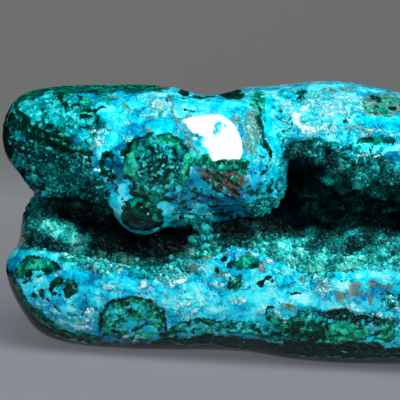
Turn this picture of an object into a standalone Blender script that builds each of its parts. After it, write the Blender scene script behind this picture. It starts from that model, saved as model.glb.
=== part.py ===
"""A polished chrysocolla and malachite stone with an open hollow across its face, lined by a druse crust.

The stone is drawn in its bedding frame, in millimetres: u runs along the stone from its left end,
v upwards and d backwards from the foremost point of its face. It is then turned by SET_DOWN_TURN
about the depth axis, which sets it on the two worn flats of its base, and moved so that the middle
of its footprint is the origin.
"""

import math
from typing import NamedTuple

import bmesh
import bpy
from mathutils import Matrix, Vector, noise
from mathutils.bvhtree import BVHTree

MM = 0.001

# Driving dimensions, in millimetres and degrees.
LENGTH = 97.2
SET_DOWN_TURN = 3.6
BASE_WEAR = 0.7
CRUST_GAP = 0.7
CRUST_THICKNESS = 1.4
CRUST_CLEARANCE = 1.5
CRUST_LUMP_SPACING = 3.4
CRUST_LUMP_HEIGHT = 1.5
ROUGH_LUMP_SPACING = 3.0
ROUGH_LUMP_HEIGHT = 1.6
UNDULATION = 2.2
UNDULATION_LENGTH = 17.0

# Where the stone's slow rise and fall starts and where it is full, in the bedding frame.
HIDDEN_BACK = (25.0, 33.0)
HIDDEN_END = (74.0, 84.0)
CLEAR_OF_BASE = (0.8, 3.5)

# The size of the faces that the surfaces are rebuilt with, and how many are kept.
STONE_VOXEL = 0.9
CRUST_VOXEL = 0.62
STONE_TRIANGLES = 6900
CRUST_TRIANGLES = 3000

# The exponent of a lobe's slices: 2 is an ellipse, and more is fuller.
FULL = 2.7
ROUND = 2.0


class Section(NamedTuple):
    """A slice of a lobe across the stone's length: where it is, and how far it reaches each way."""

    along: float
    low: float
    high: float
    front: float
    back: float


UPPER_LOBE = (
    Section(0.6, 41.5, 41.5, 17.0, 17.0),
    Section(1.2, 38.2, 45.2, 13.0, 22.0),
    Section(2.5, 36.6, 47.7, 10.5, 27.0),
    Section(4.4, 34.4, 48.9, 8.5, 31.0),
    Section(7.2, 30.4, 49.7, 7.0, 34.0),
    Section(12.0, 27.8, 50.1, 5.6, 36.5),
    Section(18.0, 25.4, 50.3, 4.2, 38.5),
    Section(24.0, 18.0, 50.3, 3.2, 39.5),
    Section(30.0, 12.0, 50.2, 2.8, 40.0),
    Section(33.6, 12.0, 49.3, 2.8, 40.2),
    Section(36.6, 12.0, 48.2, 2.9, 40.5),
    Section(39.4, 12.0, 48.5, 3.0, 40.5),
    Section(43.0, 12.0, 49.8, 3.4, 41.0),
    Section(50.4, 12.0, 50.2, 4.6, 41.0),
    Section(57.6, 12.0, 51.1, 5.0, 41.5),
    Section(64.8, 12.0, 50.3, 5.0, 41.5),
    Section(72.0, 12.0, 48.8, 5.2, 41.0),
    Section(79.0, 12.0, 46.4, 6.0, 39.5),
    Section(86.0, 13.0, 42.6, 8.5, 37.0),
    Section(92.0, 15.0, 37.0, 12.5, 33.5),
    Section(95.8, 19.0, 31.0, 17.0, 29.5),
    Section(LENGTH, 25.0, 25.0, 23.0, 23.0),
)

LOWER_LOBE = (
    Section(1.1, 18.6, 18.6, 14.0, 14.0),
    Section(1.6, 16.6, 20.2, 10.5, 19.0),
    Section(2.5, 14.3, 21.2, 8.5, 24.0),
    Section(3.6, 11.9, 22.0, 7.2, 27.0),
    Section(4.7, 9.9, 23.0, 6.2, 30.0),
    Section(6.2, 7.6, 25.0, 5.4, 32.0),
    Section(9.0, 5.3, 28.5, 4.6, 34.5),
    Section(14.0, 3.9, 33.0, 4.0, 37.0),
    Section(20.0, 3.2, 36.0, 3.7, 38.0),
    Section(36.0, 2.9, 36.0, 3.0, 40.0),
    Section(43.2, 2.7, 36.0, 3.0, 40.5),
    Section(48.6, 1.9, 36.0, 3.0, 41.0),
    Section(54.0, 0.9, 36.0, 3.0, 41.0),
    Section(62.0, 0.3, 36.0, 3.0, 41.0),
    Section(76.0, 0.3, 35.0, 3.4, 40.0),
    Section(84.0, 1.3, 33.0, 5.0, 38.0),
    Section(90.0, 4.4, 30.0, 9.0, 35.0),
    Section(94.4, 10.0, 27.0, 14.0, 31.5),
    Section(96.6, 18.0, 24.0, 20.0, 26.0),
    Section(LENGTH - 0.1, 21.0, 21.0, 23.0, 23.0),
)

REAR_WALL = (
    Section(3.2, 24.0, 24.0, 26.0, 26.0),
    Section(3.5, 20.4, 26.6, 22.0, 30.5),
    Section(4.6, 16.0, 27.8, 18.5, 34.0),
    Section(6.4, 12.0, 30.2, 17.0, 35.5),
    Section(10.0, 10.0, 35.0, 17.5, 36.5),
    Section(18.0, 10.0, 38.0, 20.0, 37.0),
    Section(26.0, 24.0, 24.0, 28.0, 28.0),
)

HOLLOW = (
    Section(-6.0, 27.0, 27.0, 5.0, 5.0),
    Section(-4.5, 22.6, 32.0, -12.0, 18.0),
    Section(3.0, 22.4, 33.0, -14.0, 19.0),
    Section(9.0, 22.6, 32.4, -14.0, 19.5),
    Section(14.0, 22.0, 31.4, -14.0, 20.5),
    Section(18.5, 21.5, 30.4, -14.0, 22.0),
    Section(24.0, 20.6, 30.0, -14.0, 25.0),
    Section(29.5, 20.3, 31.0, -14.0, 26.5),
    Section(33.4, 21.6, 32.0, -14.0, 26.5),
    Section(38.0, 23.0, 33.0, -14.0, 26.0),
    Section(43.0, 23.8, 35.0, -14.0, 26.5),
    Section(47.0, 22.8, 38.5, -14.0, 28.5),
    Section(51.5, 20.2, 41.6, -14.0, 30.5),
    Section(55.0, 19.0, 41.4, -14.0, 31.0),
    Section(59.5, 19.2, 39.2, -14.0, 30.5),
    Section(63.6, 19.8, 37.6, -14.0, 29.5),
    Section(67.0, 20.2, 36.6, -14.0, 28.5),
    Section(71.0, 20.6, 36.4, -14.0, 27.0),
    Section(76.0, 21.8, 34.8, -12.0, 23.5),
    Section(82.0, 24.6, 31.8, -8.0, 16.0),
    Section(86.0, 28.0, 28.0, 3.0, 3.0),
)


class Blob(NamedTuple):
    """A rounded mass: its middle and its half sizes in the bedding frame, and its lean in degrees."""

    centre: tuple
    half: tuple
    lean: float


KNOB = Blob(centre=(35.0, 38.0, 13.0), half=(17.2, 12.0, 13.0), lean=-4.0)
BULB = Blob(centre=(25.9, 29.4, 7.6), half=(5.0, 4.5, 6.0), lean=20.0)
FLANK = Blob(centre=(43.0, 34.6, 12.6), half=(8.4, 7.2, 9.0), lean=0.0)
PILLAR = Blob(centre=(37.2, 24.6, 8.0), half=(2.7, 4.2, 3.2), lean=6.0)
HANGING = {"knob": KNOB, "flank": FLANK, "bulb": BULB}
TOP_BITE = Blob(centre=(36.9, 51.6, 20.0), half=(4.9, 3.5, 34.0), lean=0.0)
BROW_SCOOP = Blob(centre=(7.0, 26.5, -2.0), half=(12.5, 17.0, 15.5), lean=14.0)
FACE_PITS = (
    Blob(centre=(34.0, 19.2, 2.2), half=(5.6, 2.2, 2.0), lean=12.0),
    Blob(centre=(15.4, 9.6, 2.8), half=(5.0, 1.5, 1.9), lean=14.0),
    Blob(centre=(69.0, 15.5, 2.4), half=(3.6, 1.6, 1.8), lean=-8.0),
)


class RoughZone(NamedTuple):
    """Unpolished stone with lumps. Each pair says where they start and where they are full."""

    left: tuple
    right: tuple
    top: tuple
    bottom: tuple
    depth: tuple
    overhang: tuple


ROUGH_ZONES = (
    RoughZone((5.0, 9.0), (19.0, 17.0), (40.5, 38.0), (29.5, 32.0), (15.0, 12.5), (0.2, 0.0)),
    RoughZone((50.0, 53.5), (73.0, 70.0), (43.5, 41.0), (33.0, 35.5), (9.0, 7.0), (0.0, -0.4)),
)


def clear_scene():
    """Removes whatever the scene holds."""
    for thing in list(bpy.data.objects):
        bpy.data.objects.remove(thing, do_unlink=True)


def between(sections, along):
    """The section at a place between two stated ones, on a smooth curve that never overshoots them."""
    at = [s.along for s in sections]
    i = max(0, min(len(at) - 2, sum(1 for a in at if a <= along) - 1))
    share = max(0.0, min(1.0, (along - at[i]) / (at[i + 1] - at[i])))
    sizes = []
    for side in range(1, 5):
        values = [s[side] for s in sections]
        slopes = [limited_slope(at, values, k) for k in (i, i + 1)]
        step = at[i + 1] - at[i]
        a, b = values[i], values[i + 1]
        s2, s3 = share * share, share**3
        sizes.append(
            a * (2 * s3 - 3 * s2 + 1)
            + b * (3 * s2 - 2 * s3)
            + step * (slopes[0] * (s3 - 2 * s2 + share) + slopes[1] * (s3 - s2))
        )
    return Section(along, *sizes)


def limited_slope(at, values, k):
    """The slope of a curve through the values at its k-th point, zero where the values turn."""
    if k == 0 or k == len(at) - 1:
        return 0.0
    before = (values[k] - values[k - 1]) / (at[k] - at[k - 1])
    after = (values[k + 1] - values[k]) / (at[k + 1] - at[k])
    if before * after <= 0:
        return 0.0
    return 2 * before * after / (before + after)


def in_bedding(u, v, d):
    """A point of the bedding frame, given in millimetres, in metres: X along, Y backwards, Z up."""
    return Vector((u, d, v)) * MM


def lobe(name, sections, squareness, grow=0.0, rings=90, sides=56):
    """A closed mass lofted through sections, made from a sphere whose poles are its two ends.

    squareness is 2 for elliptical slices and more for fuller ones. grow moves the whole surface
    outwards, in millimetres.
    """
    work = bmesh.new()
    bmesh.ops.create_uvsphere(work, u_segments=sides, v_segments=rings, radius=1.0)
    start, end = sections[0].along - grow, sections[-1].along + grow
    for vertex in work.verts:
        share = math.acos(max(-1.0, min(1.0, vertex.co.z))) / math.pi
        easing = (1 - math.cos(math.pi * share)) / 2
        travel = 0.6 * share + 0.4 * easing
        along = sections[0].along + travel * (sections[-1].along - sections[0].along)
        cut = between(sections, along)
        turn = math.atan2(vertex.co.y, vertex.co.x)
        across = math.copysign(abs(math.cos(turn)) ** (2 / squareness), math.cos(turn))
        upward = math.copysign(abs(math.sin(turn)) ** (2 / squareness), math.sin(turn))
        pole = share in (0.0, 1.0) or cut.high - cut.low < 1e-6
        spread = 0.0 if pole else grow
        d = (cut.front + cut.back) / 2 + across * ((cut.back - cut.front) / 2 + spread)
        v = (cut.low + cut.high) / 2 + upward * ((cut.high - cut.low) / 2 + spread)
        u = start + travel * (end - start)
        vertex.co = in_bedding(u, v, d)
    bmesh.ops.recalc_face_normals(work, faces=work.faces)
    return finished(name, work)


def blob(name, mass, grow=0.0, detail=5):
    """A rounded mass made from a sphere, leaning about the depth axis."""
    work = bmesh.new()
    bmesh.ops.create_icosphere(work, subdivisions=detail, radius=1.0)
    along, up, deep = (half + grow for half in mass.half)
    size = Matrix.Diagonal((along * MM, deep * MM, up * MM, 1.0))
    lean = Matrix.Rotation(math.radians(mass.lean), 4, "Y")
    move = Matrix.Translation(in_bedding(*mass.centre))
    bmesh.ops.transform(work, matrix=move @ lean @ size, verts=work.verts)
    return finished(name, work)


def finished(name, work):
    """An object in the scene that holds the bmesh."""
    mesh = bpy.data.meshes.new(name)
    work.to_mesh(mesh)
    work.free()
    thing = bpy.data.objects.new(name, mesh)
    bpy.context.scene.collection.objects.link(thing)
    return thing


def combine(target, others, operation, solver="EXACT"):
    """Adds Booleans that join the others to the target, cut them from it or keep what they share."""
    for other in others:
        step = target.modifiers.new(f"{operation} {other.name}", "BOOLEAN")
        step.operation = operation
        step.solver = solver
        step.object = other


def bake(thing):
    """Puts the result of the object's modifiers in its mesh."""
    graph = bpy.context.evaluated_depsgraph_get()
    mesh = bpy.data.meshes.new_from_object(thing.evaluated_get(graph))
    thing.modifiers.clear()
    thing.data = mesh


def discard(things):
    """Removes the masses that a shape was made from."""
    for thing in things:
        bpy.data.objects.remove(thing, do_unlink=True)


def even_out(thing, voxel, smoothing):
    """Rebuilds the surface with even faces and softens the creases where masses meet."""
    rebuild = thing.modifiers.new("even faces", "REMESH")
    rebuild.mode = "VOXEL"
    rebuild.voxel_size = voxel * MM
    soften = thing.modifiers.new("soft creases", "SMOOTH")
    soften.factor = 0.5
    soften.iterations = smoothing
    bake(thing)


def reduce_to(thing, triangles):
    """Keeps about this many triangles, most of them where the surface bends."""
    thing.data.calc_loop_triangles()
    fewer = thing.modifiers.new("fewer faces", "DECIMATE")
    fewer.ratio = triangles / len(thing.data.loop_triangles)
    fewer.use_collapse_triangulate = True
    bake(thing)


def knobbly(point, spacing):
    """The height of rounded lumps, from 0 in the creases between them to 1 at their tops."""
    distances, _ = noise.voronoi(Vector(point) / (spacing * MM))
    return max(0.0, 1.0 - 1.5 * distances[0] ** 2)


def raise_surface(thing, height_at):
    """Moves each vertex along its normal by what height_at says for it, in millimetres."""
    work = bmesh.new()
    work.from_mesh(thing.data)
    work.normal_update()
    for vertex in work.verts:
        vertex.co += vertex.normal * height_at(vertex) * MM
    work.to_mesh(thing.data)
    work.free()


def eased(value, limits):
    """0 up to the first limit, 1 from the second on, with a smooth rise; either may be the larger."""
    start, end = limits
    share = max(0.0, min(1.0, (value - start) / (end - start)))
    return share * share * (3 - 2 * share)


def crust_lumps(space):
    """The lumps of the crust, on the side of it that faces the open space."""
    inner = BVHTree.FromPolygons(
        [v.co for v in space.data.vertices], [list(f.vertices) for f in space.data.polygons]
    )

    def height(vertex):
        distance = inner.find_nearest(vertex.co)[3]
        share = max(0.0, 1.0 - distance / (0.5 * CRUST_THICKNESS * MM))
        return CRUST_LUMP_HEIGHT * share * knobbly(vertex.co, CRUST_LUMP_SPACING)

    return height


def roughness_at(vertex):
    """How far a vertex of the stone is inside a rough zone, from 0 to 1."""
    u, d, v = vertex.co / MM
    shares = [
        eased(u, zone.left)
        * eased(u, zone.right)
        * eased(v, zone.top)
        * eased(v, zone.bottom)
        * eased(d, zone.depth)
        * eased(vertex.normal.z, zone.overhang)
        for zone in ROUGH_ZONES
    ]
    return max(shares)


def stone_relief(vertex):
    """The stone's own relief: lumps where it is rough, and a slow rise and fall at back and end."""
    u, d, v = vertex.co / MM
    lumps = ROUGH_LUMP_HEIGHT * (knobbly(vertex.co, ROUGH_LUMP_SPACING) - 0.4)
    hidden = max(eased(d, HIDDEN_BACK), eased(u, HIDDEN_END)) * eased(v, CLEAR_OF_BASE)
    slow = noise.noise(vertex.co / (UNDULATION_LENGTH * MM))
    return roughness_at(vertex) * lumps - UNDULATION * hidden * (0.5 + 0.5 * slow)


def build_block(grow, tag):
    """The stone before its hollow: both lobes, the upper one scooped, and the wall at the back left."""
    block = lobe(f"upper_{tag}", UPPER_LOBE, FULL, grow)
    scoop = blob(f"brow_scoop_{tag}", BROW_SCOOP, -grow)
    others = [
        lobe(f"lower_{tag}", LOWER_LOBE, FULL, grow),
        lobe(f"rear_{tag}", REAR_WALL, ROUND, grow),
    ]
    combine(block, [scoop], "DIFFERENCE")
    combine(block, others, "UNION")
    bake(block)
    discard([scoop, *others])
    return block


def build_stone():
    """The stone: its block, less the hollow, with the knob and the bulb that hang into it."""
    stone = build_block(0.0, "stone")
    hollow = lobe("hollow", HOLLOW, ROUND)
    masses = [blob(name, mass) for name, mass in HANGING.items()]
    cutters = [blob("top_bite", TOP_BITE)]
    cutters += [blob(f"face_pit_{i}", pit) for i, pit in enumerate(FACE_PITS)]
    combine(stone, [hollow], "DIFFERENCE")
    combine(stone, masses, "UNION")
    combine(stone, cutters, "DIFFERENCE")
    bake(stone)
    discard([hollow, *masses, *cutters])
    even_out(stone, STONE_VOXEL, 10)
    raise_surface(stone, stone_relief)
    reduce_to(stone, STONE_TRIANGLES)
    stone.name = "stone"
    return stone


def build_crust():
    """The druse crust: what is left between the hollow's wall and the open space inside it."""
    crust = lobe("crust", HOLLOW, ROUND, -CRUST_GAP)
    block = build_block(-CRUST_GAP, "limit")
    combine(crust, [block], "INTERSECT")
    bake(crust)
    pillar = blob("pillar", PILLAR)
    space = lobe("open_space", HOLLOW, ROUND, -CRUST_GAP - CRUST_THICKNESS)
    clear = [blob(f"{name}_clear", mass, CRUST_CLEARANCE) for name, mass in HANGING.items()]
    combine(space, [pillar], "DIFFERENCE")
    bake(space)
    combine(crust, [space, *clear], "DIFFERENCE", solver="MANIFOLD")
    bake(crust)
    even_out(crust, CRUST_VOXEL, 1)
    keep_largest(crust)
    raise_surface(crust, crust_lumps(space))
    discard([block, pillar, space, *clear])
    reduce_to(crust, CRUST_TRIANGLES)
    crust.name = "druse_crust"
    return crust


def keep_largest(thing):
    """Deletes every loose crumb but the largest piece of the mesh."""
    work = bmesh.new()
    work.from_mesh(thing.data)
    unseen = set(work.verts)
    pieces = []
    while unseen:
        edge = [unseen.pop()]
        piece = list(edge)
        while edge:
            reached = [e.other_vert(v) for v in edge for e in v.link_edges]
            edge = [v for v in dict.fromkeys(reached) if v in unseen]
            unseen.difference_update(edge)
            piece.extend(edge)
        pieces.append(piece)
    pieces.sort(key=len)
    crumbs = [v for piece in pieces[:-1] for v in piece]
    bmesh.ops.delete(work, geom=crumbs, context="VERTS")
    work.to_mesh(thing.data)
    work.free()


def set_down(stone, crust):
    """Turns both pieces onto the base, wears it flat and puts the origin under the stone's middle."""
    turn = Matrix.Rotation(math.radians(-SET_DOWN_TURN), 4, "Y")
    for thing in (stone, crust):
        thing.data.transform(turn)
    foot = min(v.co.z for v in stone.data.vertices) + BASE_WEAR * MM
    work = bmesh.new()
    work.from_mesh(stone.data)
    cut = bmesh.ops.bisect_plane(
        work,
        geom=work.verts[:] + work.edges[:] + work.faces[:],
        plane_co=(0.0, 0.0, foot),
        plane_no=(0.0, 0.0, -1.0),
        clear_outer=True,
    )
    rim = [e for e in cut["geom_cut"] if isinstance(e, bmesh.types.BMEdge)]
    bmesh.ops.holes_fill(work, edges=rim)
    bmesh.ops.triangulate(work, faces=work.faces[:])
    bmesh.ops.recalc_face_normals(work, faces=work.faces[:])
    work.to_mesh(stone.data)
    work.free()
    xs = [v.co.x for v in stone.data.vertices]
    ys = [v.co.y for v in stone.data.vertices]
    middle = Vector(((min(xs) + max(xs)) / 2, (min(ys) + max(ys)) / 2, foot))
    for thing in (stone, crust):
        thing.data.transform(Matrix.Translation(-middle))


def dress(thing, colour, roughness):
    """Gives the piece its own plain material."""
    material = bpy.data.materials.new(thing.name)
    material.use_nodes = True
    shader = material.node_tree.nodes["Principled BSDF"]
    shader.inputs["Base Color"].default_value = (*colour, 1.0)
    shader.inputs["Roughness"].default_value = roughness
    shader.inputs["Metallic"].default_value = 0.0
    thing.data.materials.clear()
    thing.data.materials.append(material)


def main():
    """Builds the stone and its crust and sets them down."""
    clear_scene()
    stone = build_stone()
    crust = build_crust()
    set_down(stone, crust)
    dress(stone, (0.01, 0.33, 0.46), 0.16)
    dress(crust, (0.01, 0.30, 0.28), 0.5)


main()
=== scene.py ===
"""Dresses a polished chrysocolla and malachite stone whose hollow is lined with druse.

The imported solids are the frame. The stone and the crust are rebuilt from them with a finer surface, the
minerals are laid on as named spots and veins, and the druse is grown as many small crystals in joined meshes.
"""

from __future__ import annotations

import logging
import math
from dataclasses import dataclass, field
from enum import Enum
from typing import Callable, Sequence

import bmesh
import bpy
import numpy as np
from mathutils import Matrix, Vector, noise
from mathutils.bvhtree import BVHTree


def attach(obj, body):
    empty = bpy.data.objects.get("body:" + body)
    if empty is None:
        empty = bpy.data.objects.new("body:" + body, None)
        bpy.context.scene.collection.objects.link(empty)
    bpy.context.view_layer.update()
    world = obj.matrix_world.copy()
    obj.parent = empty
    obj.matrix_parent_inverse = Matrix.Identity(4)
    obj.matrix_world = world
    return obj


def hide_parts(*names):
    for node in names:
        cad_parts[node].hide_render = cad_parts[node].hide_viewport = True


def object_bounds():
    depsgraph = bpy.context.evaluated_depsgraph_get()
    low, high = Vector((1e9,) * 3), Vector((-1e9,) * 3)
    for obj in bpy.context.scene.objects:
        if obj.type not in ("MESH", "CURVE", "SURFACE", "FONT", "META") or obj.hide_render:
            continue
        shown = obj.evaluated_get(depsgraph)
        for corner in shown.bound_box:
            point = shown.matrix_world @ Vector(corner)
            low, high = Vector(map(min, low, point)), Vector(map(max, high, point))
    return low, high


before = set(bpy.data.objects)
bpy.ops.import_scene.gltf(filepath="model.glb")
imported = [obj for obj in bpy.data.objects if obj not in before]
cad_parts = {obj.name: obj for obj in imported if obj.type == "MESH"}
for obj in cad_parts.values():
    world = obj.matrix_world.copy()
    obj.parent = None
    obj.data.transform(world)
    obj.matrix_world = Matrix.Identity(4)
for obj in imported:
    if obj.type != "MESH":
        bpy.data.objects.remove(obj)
CAD_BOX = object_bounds()

LOG = logging.getLogger("chrysocolla")
MM = 0.001
WELD = 0.002
HALFWAY = 0.5


# ---- Where things are ----


@dataclass(frozen=True)
class Bedding:
    """The stone's own frame, in millimetres: u along it, d backwards from its face and v upwards.

    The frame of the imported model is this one, turned about the depth axis and moved.
    """

    turn: float = math.radians(3.6)
    middle: tuple[float, float, float] = (46.52, 20.22, 4.84)

    def from_world(self, points: np.ndarray) -> np.ndarray:
        """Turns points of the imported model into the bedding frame.

        Args:
            points: Points in metres, one a row.

        Returns:
            The points' u, d and v in millimetres, one point a row.
        """
        return self.turned(points / MM + np.array(self.middle))

    def turned(self, vectors: np.ndarray) -> np.ndarray:
        """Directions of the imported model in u, d and v, one a row."""
        x, y, z = vectors.T
        cos, sin = math.cos(self.turn), math.sin(self.turn)
        return np.stack([x * cos + z * sin, y, z * cos - x * sin], axis=1)

    def to_world(self, u: float, d: float, v: float) -> Vector:
        """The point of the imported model, in metres, at a place of the bedding frame."""
        cos, sin = math.cos(self.turn), math.sin(self.turn)
        moved = np.array([u * cos - v * sin, d, v * cos + u * sin]) - np.array(self.middle)
        return Vector(moved) * MM


@dataclass(frozen=True)
class Viewpoint:
    """Where the stone is looked at from, and the drawing grid that its face is laid out on.

    The grid has 400 cells of 0.18 mm each way. It stands upright through the stone at a middle depth, x runs
    to the right and y down from its top left corner, and a marking is laid on the face along the sight line.
    """

    bedding: Bedding
    target: tuple[float, float, float] = (36.0, 22.0, 29.6)
    distance: float = 450.0
    elevation: float = math.radians(7.0)
    cell: float = 0.18
    cells: int = 400
    sensor: float = 36.0
    near_clip: float = 0.01

    def back(self) -> tuple[float, float, float]:
        """The unit direction from the target to the eye."""
        return (0.0, -math.cos(self.elevation), math.sin(self.elevation))

    def sight(self, places: np.ndarray) -> np.ndarray:
        """The unit directions from places of the bedding frame to the eye, one a row."""
        eye = np.array(self.target) + self.distance * np.array(self.back())
        rays = eye - places
        return rays / np.linalg.norm(rays, axis=1, keepdims=True)

    def grid(self, places: np.ndarray) -> np.ndarray:
        """Finds where places of the bedding frame fall on the drawing grid.

        Args:
            places: u, d and v in millimetres, one place a row.

        Returns:
            x and y on the grid, in cells, one place a row.
        """
        u, d, v = (places - np.array(self.target)).T
        cos, sin = math.cos(self.elevation), math.sin(self.elevation)
        away = self.distance + d * cos - v * sin
        up = v * cos + d * sin
        scale = self.distance / away / self.cell
        return np.stack([self.cells / 2 + u * scale, self.cells / 2 - up * scale], axis=1)

    def place_camera(self) -> None:
        """Puts the scene's camera at the viewpoint, rolled so that the bedding frame is upright in it."""
        lens = bpy.data.cameras.new("camera")
        lens.sensor_width = self.sensor
        lens.lens = self.sensor * self.distance / (self.cells * self.cell)
        lens.clip_start = self.near_clip
        camera = placed("camera", lens)
        back = Vector(self.back())
        camera.location = self.bedding.to_world(*self.target) + back * self.distance * MM
        level = (-back).to_track_quat("-Z", "Y").to_matrix().to_4x4()
        camera.rotation_euler = (level @ Matrix.Rotation(self.bedding.turn, 4, "Z")).to_euler()
        bpy.context.scene.camera = camera


# ---- Surfaces ----


def eased(value: np.ndarray, start: float, end: float) -> np.ndarray:
    """0 up to start and 1 from end on, with a smooth rise between them. start may be the larger one."""
    share = np.clip((value - start) / (end - start), 0.0, 1.0)
    return share * share * (3 - 2 * share)


def each(points: np.ndarray, spacing: float, pattern: Callable[[Vector], float]) -> np.ndarray:
    """The value of a pattern at each point, with the points' millimetres divided by spacing first."""
    return np.array([pattern(Vector(p)) for p in points / spacing])


def lump(point: Vector) -> float:
    """The height of rounded lumps a unit apart, from 0 in their creases to 1 at their tops."""
    steepness = 1.4
    return max(0.0, 1.0 - steepness * noise.voronoi(point)[0][0] ** 2)


def slow(point: Vector) -> float:
    """A smooth rise and fall of about a unit's length, from -1 to 1."""
    return noise.noise(point)


def broken(point: Vector) -> float:
    """A rise and fall with finer ones on it, from about -1 to 1."""
    loss, gain, octaves = 0.9, 2.1, 4
    return noise.fractal(point, loss, gain, octaves)


@dataclass
class Surface:
    """The mesh of one piece while it is shaped, with its points and normals as arrays."""

    thing: bpy.types.Object
    points: np.ndarray = field(init=False)
    normals: np.ndarray = field(init=False)

    def __post_init__(self) -> None:
        """Reads the mesh."""
        self.read()

    def read(self) -> None:
        """Reads the mesh's points and normals again after a change."""
        mesh = self.thing.data
        self.points = np.empty((len(mesh.vertices), 3))
        mesh.vertices.foreach_get("co", self.points.ravel())
        self.normals = np.empty((len(mesh.vertices), 3))
        mesh.vertex_normals.foreach_get("vector", self.normals.ravel())

    def move(self, points: np.ndarray) -> None:
        """Moves the vertices to new places."""
        self.thing.data.vertices.foreach_set("co", points.ravel())
        self.thing.data.update()
        self.read()

    def raise_by(self, height: np.ndarray) -> None:
        """Moves each vertex along its normal by its height in millimetres."""
        self.move(self.points + self.normals * height[:, None] * MM)

    def keep(self, name: str, values: np.ndarray) -> None:
        """Stores a value for each vertex, for a finish to read."""
        layer = self.thing.data.attributes.new(name, "FLOAT", "POINT")
        layer.data.foreach_set("value", values.astype(np.float32))


def in_box(points: np.ndarray) -> np.ndarray:
    """The points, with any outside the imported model's box pressed back to its nearest side."""
    low, high = (np.array(corner) for corner in CAD_BOX)
    return np.clip(points, low, high)


def shade(mesh: bpy.types.Mesh, smooth: bool = True) -> None:
    """Shades a mesh's faces smooth or flat."""
    mesh.polygons.foreach_set("use_smooth", np.full(len(mesh.polygons), smooth))


def merged_copy(node: bpy.types.Object, name: str) -> bpy.types.Object:
    """Copies a node of the frame, with its loose triangles joined.

    Args:
        node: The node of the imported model.
        name: The name of the new piece.

    Returns:
        The new piece.
    """
    work = bmesh.new()
    work.from_mesh(node.data)
    bmesh.ops.remove_doubles(work, verts=work.verts[:], dist=WELD * MM)
    return finished(name, work)


def finished(name: str, work: bmesh.types.BMesh) -> bpy.types.Object:
    """Puts a bmesh in a new object of the scene and frees it.

    Args:
        name: The object's name.
        work: The bmesh.

    Returns:
        The new object.
    """
    mesh = bpy.data.meshes.new(name)
    work.to_mesh(mesh)
    work.free()
    return placed(name, mesh)


def placed(name: str, data: bpy.types.ID) -> bpy.types.Object:
    """Puts a mesh, a lamp or a camera in the scene as a new object.

    Args:
        name: The object's name.
        data: What it shows.

    Returns:
        The new object.
    """
    thing = bpy.data.objects.new(name, data)
    bpy.context.scene.collection.objects.link(thing)
    return thing


def rebuild(thing: bpy.types.Object, voxel: float, rounds: int) -> None:
    """Rebuilds a surface with small even faces and smooths the marks of the old ones away.

    Args:
        thing: The piece.
        voxel: The size of the new faces, in millimetres.
        rounds: How often the surface is smoothed.
    """
    even = thing.modifiers.new("even faces", "REMESH")
    even.mode = "VOXEL"
    even.voxel_size = voxel * MM
    soft = thing.modifiers.new("smooth", "SMOOTH")
    soft.factor = HALFWAY
    soft.iterations = rounds
    graph = bpy.context.evaluated_depsgraph_get()
    mesh = bpy.data.meshes.new_from_object(thing.evaluated_get(graph))
    thing.modifiers.clear()
    thing.data = mesh
    shade(mesh)


def refine(thing: bpy.types.Object, wanted: np.ndarray) -> None:
    """Splits the faces whose vertices are all wanted into four.

    Args:
        thing: The piece.
        wanted: For each vertex, whether it is in the part to refine.
    """
    work = bmesh.new()
    work.from_mesh(thing.data)
    work.verts.ensure_lookup_table()
    edges = [e for e in work.edges if wanted[e.verts[0].index] and wanted[e.verts[1].index]]
    bmesh.ops.subdivide_edges(work, edges=edges, cuts=1, use_grid_fill=True, smooth=0.0)
    work.to_mesh(thing.data)
    work.free()
    shade(thing.data)


# ---- Minerals and their markings ----


class Mineral(Enum):
    """What a marking is made of, from the lowest in the finish to the uppermost.

    The last two are no minerals but how the stone was left there: satin is worn and rough is unpolished. The
    value is the name of the vertex attribute that holds the extent.
    """

    TEAL = "teal"
    DEEP = "deep"
    CYAN = "cyan"
    MILKY = "milky"
    BEIGE = "beige"
    ASH = "ash"
    BROWN = "brown"
    MALACHITE = "malachite"
    FRESH = "fresh"
    DARK = "dark"
    TURQUOISE = "turquoise"
    CREAM = "cream"
    SATIN = "satin"
    ROUGH = "rough"


@dataclass(frozen=True)
class Spot:
    """A rounded marking on the drawing grid: its middle, half sizes in cells and lean in degrees."""

    mineral: Mineral
    x: float
    y: float
    across: float
    high: float
    lean: float = 0.0

    def inside(self, at: np.ndarray) -> np.ndarray:
        """How far in cells each place is inside the marking, and negative outside it.

        Args:
            at: Places on the drawing grid, one a row.

        Returns:
            The distances, one for each place.
        """
        angle = math.radians(self.lean)
        x, y = at[:, 0] - self.x, at[:, 1] - self.y
        along = (x * math.cos(angle) + y * math.sin(angle)) / self.across
        over = (y * math.cos(angle) - x * math.sin(angle)) / self.high
        return (1.0 - np.hypot(along, over)) * min(self.across, self.high)


@dataclass(frozen=True)
class Vein:
    """A marking that follows a line on the drawing grid, with its half width in cells."""

    mineral: Mineral
    half: float
    line: tuple[tuple[float, float], ...]

    def inside(self, at: np.ndarray) -> np.ndarray:
        """How far in cells each place is inside the marking, and negative outside it.

        Args:
            at: Places on the drawing grid, one a row.

        Returns:
            The distances, one for each place.
        """
        nearest = np.full(len(at), np.inf)
        for start, end in zip(self.line, self.line[1:]):
            a, b = np.array(start), np.array(end)
            share = np.clip((at - a) @ (b - a) / max(1e-9, (b - a) @ (b - a)), 0.0, 1.0)
            gap = np.linalg.norm(at - a - share[:, None] * (b - a), axis=1)
            nearest = np.minimum(nearest, gap)
        return self.half - nearest


@dataclass(frozen=True)
class Nest:
    """A marking in the round, for the sides that the drawing grid doesn't reach: a ball of one mineral."""

    mineral: Mineral
    middle: tuple[float, float, float]
    half: tuple[float, float, float]

    def inside(self, places: np.ndarray) -> np.ndarray:
        """How far in millimetres each place is inside the ball, and negative outside it."""
        off = (places - np.array(self.middle)) / np.array(self.half)
        return (1.0 - np.linalg.norm(off, axis=1)) * min(self.half)


Marking = Spot | Vein


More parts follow.
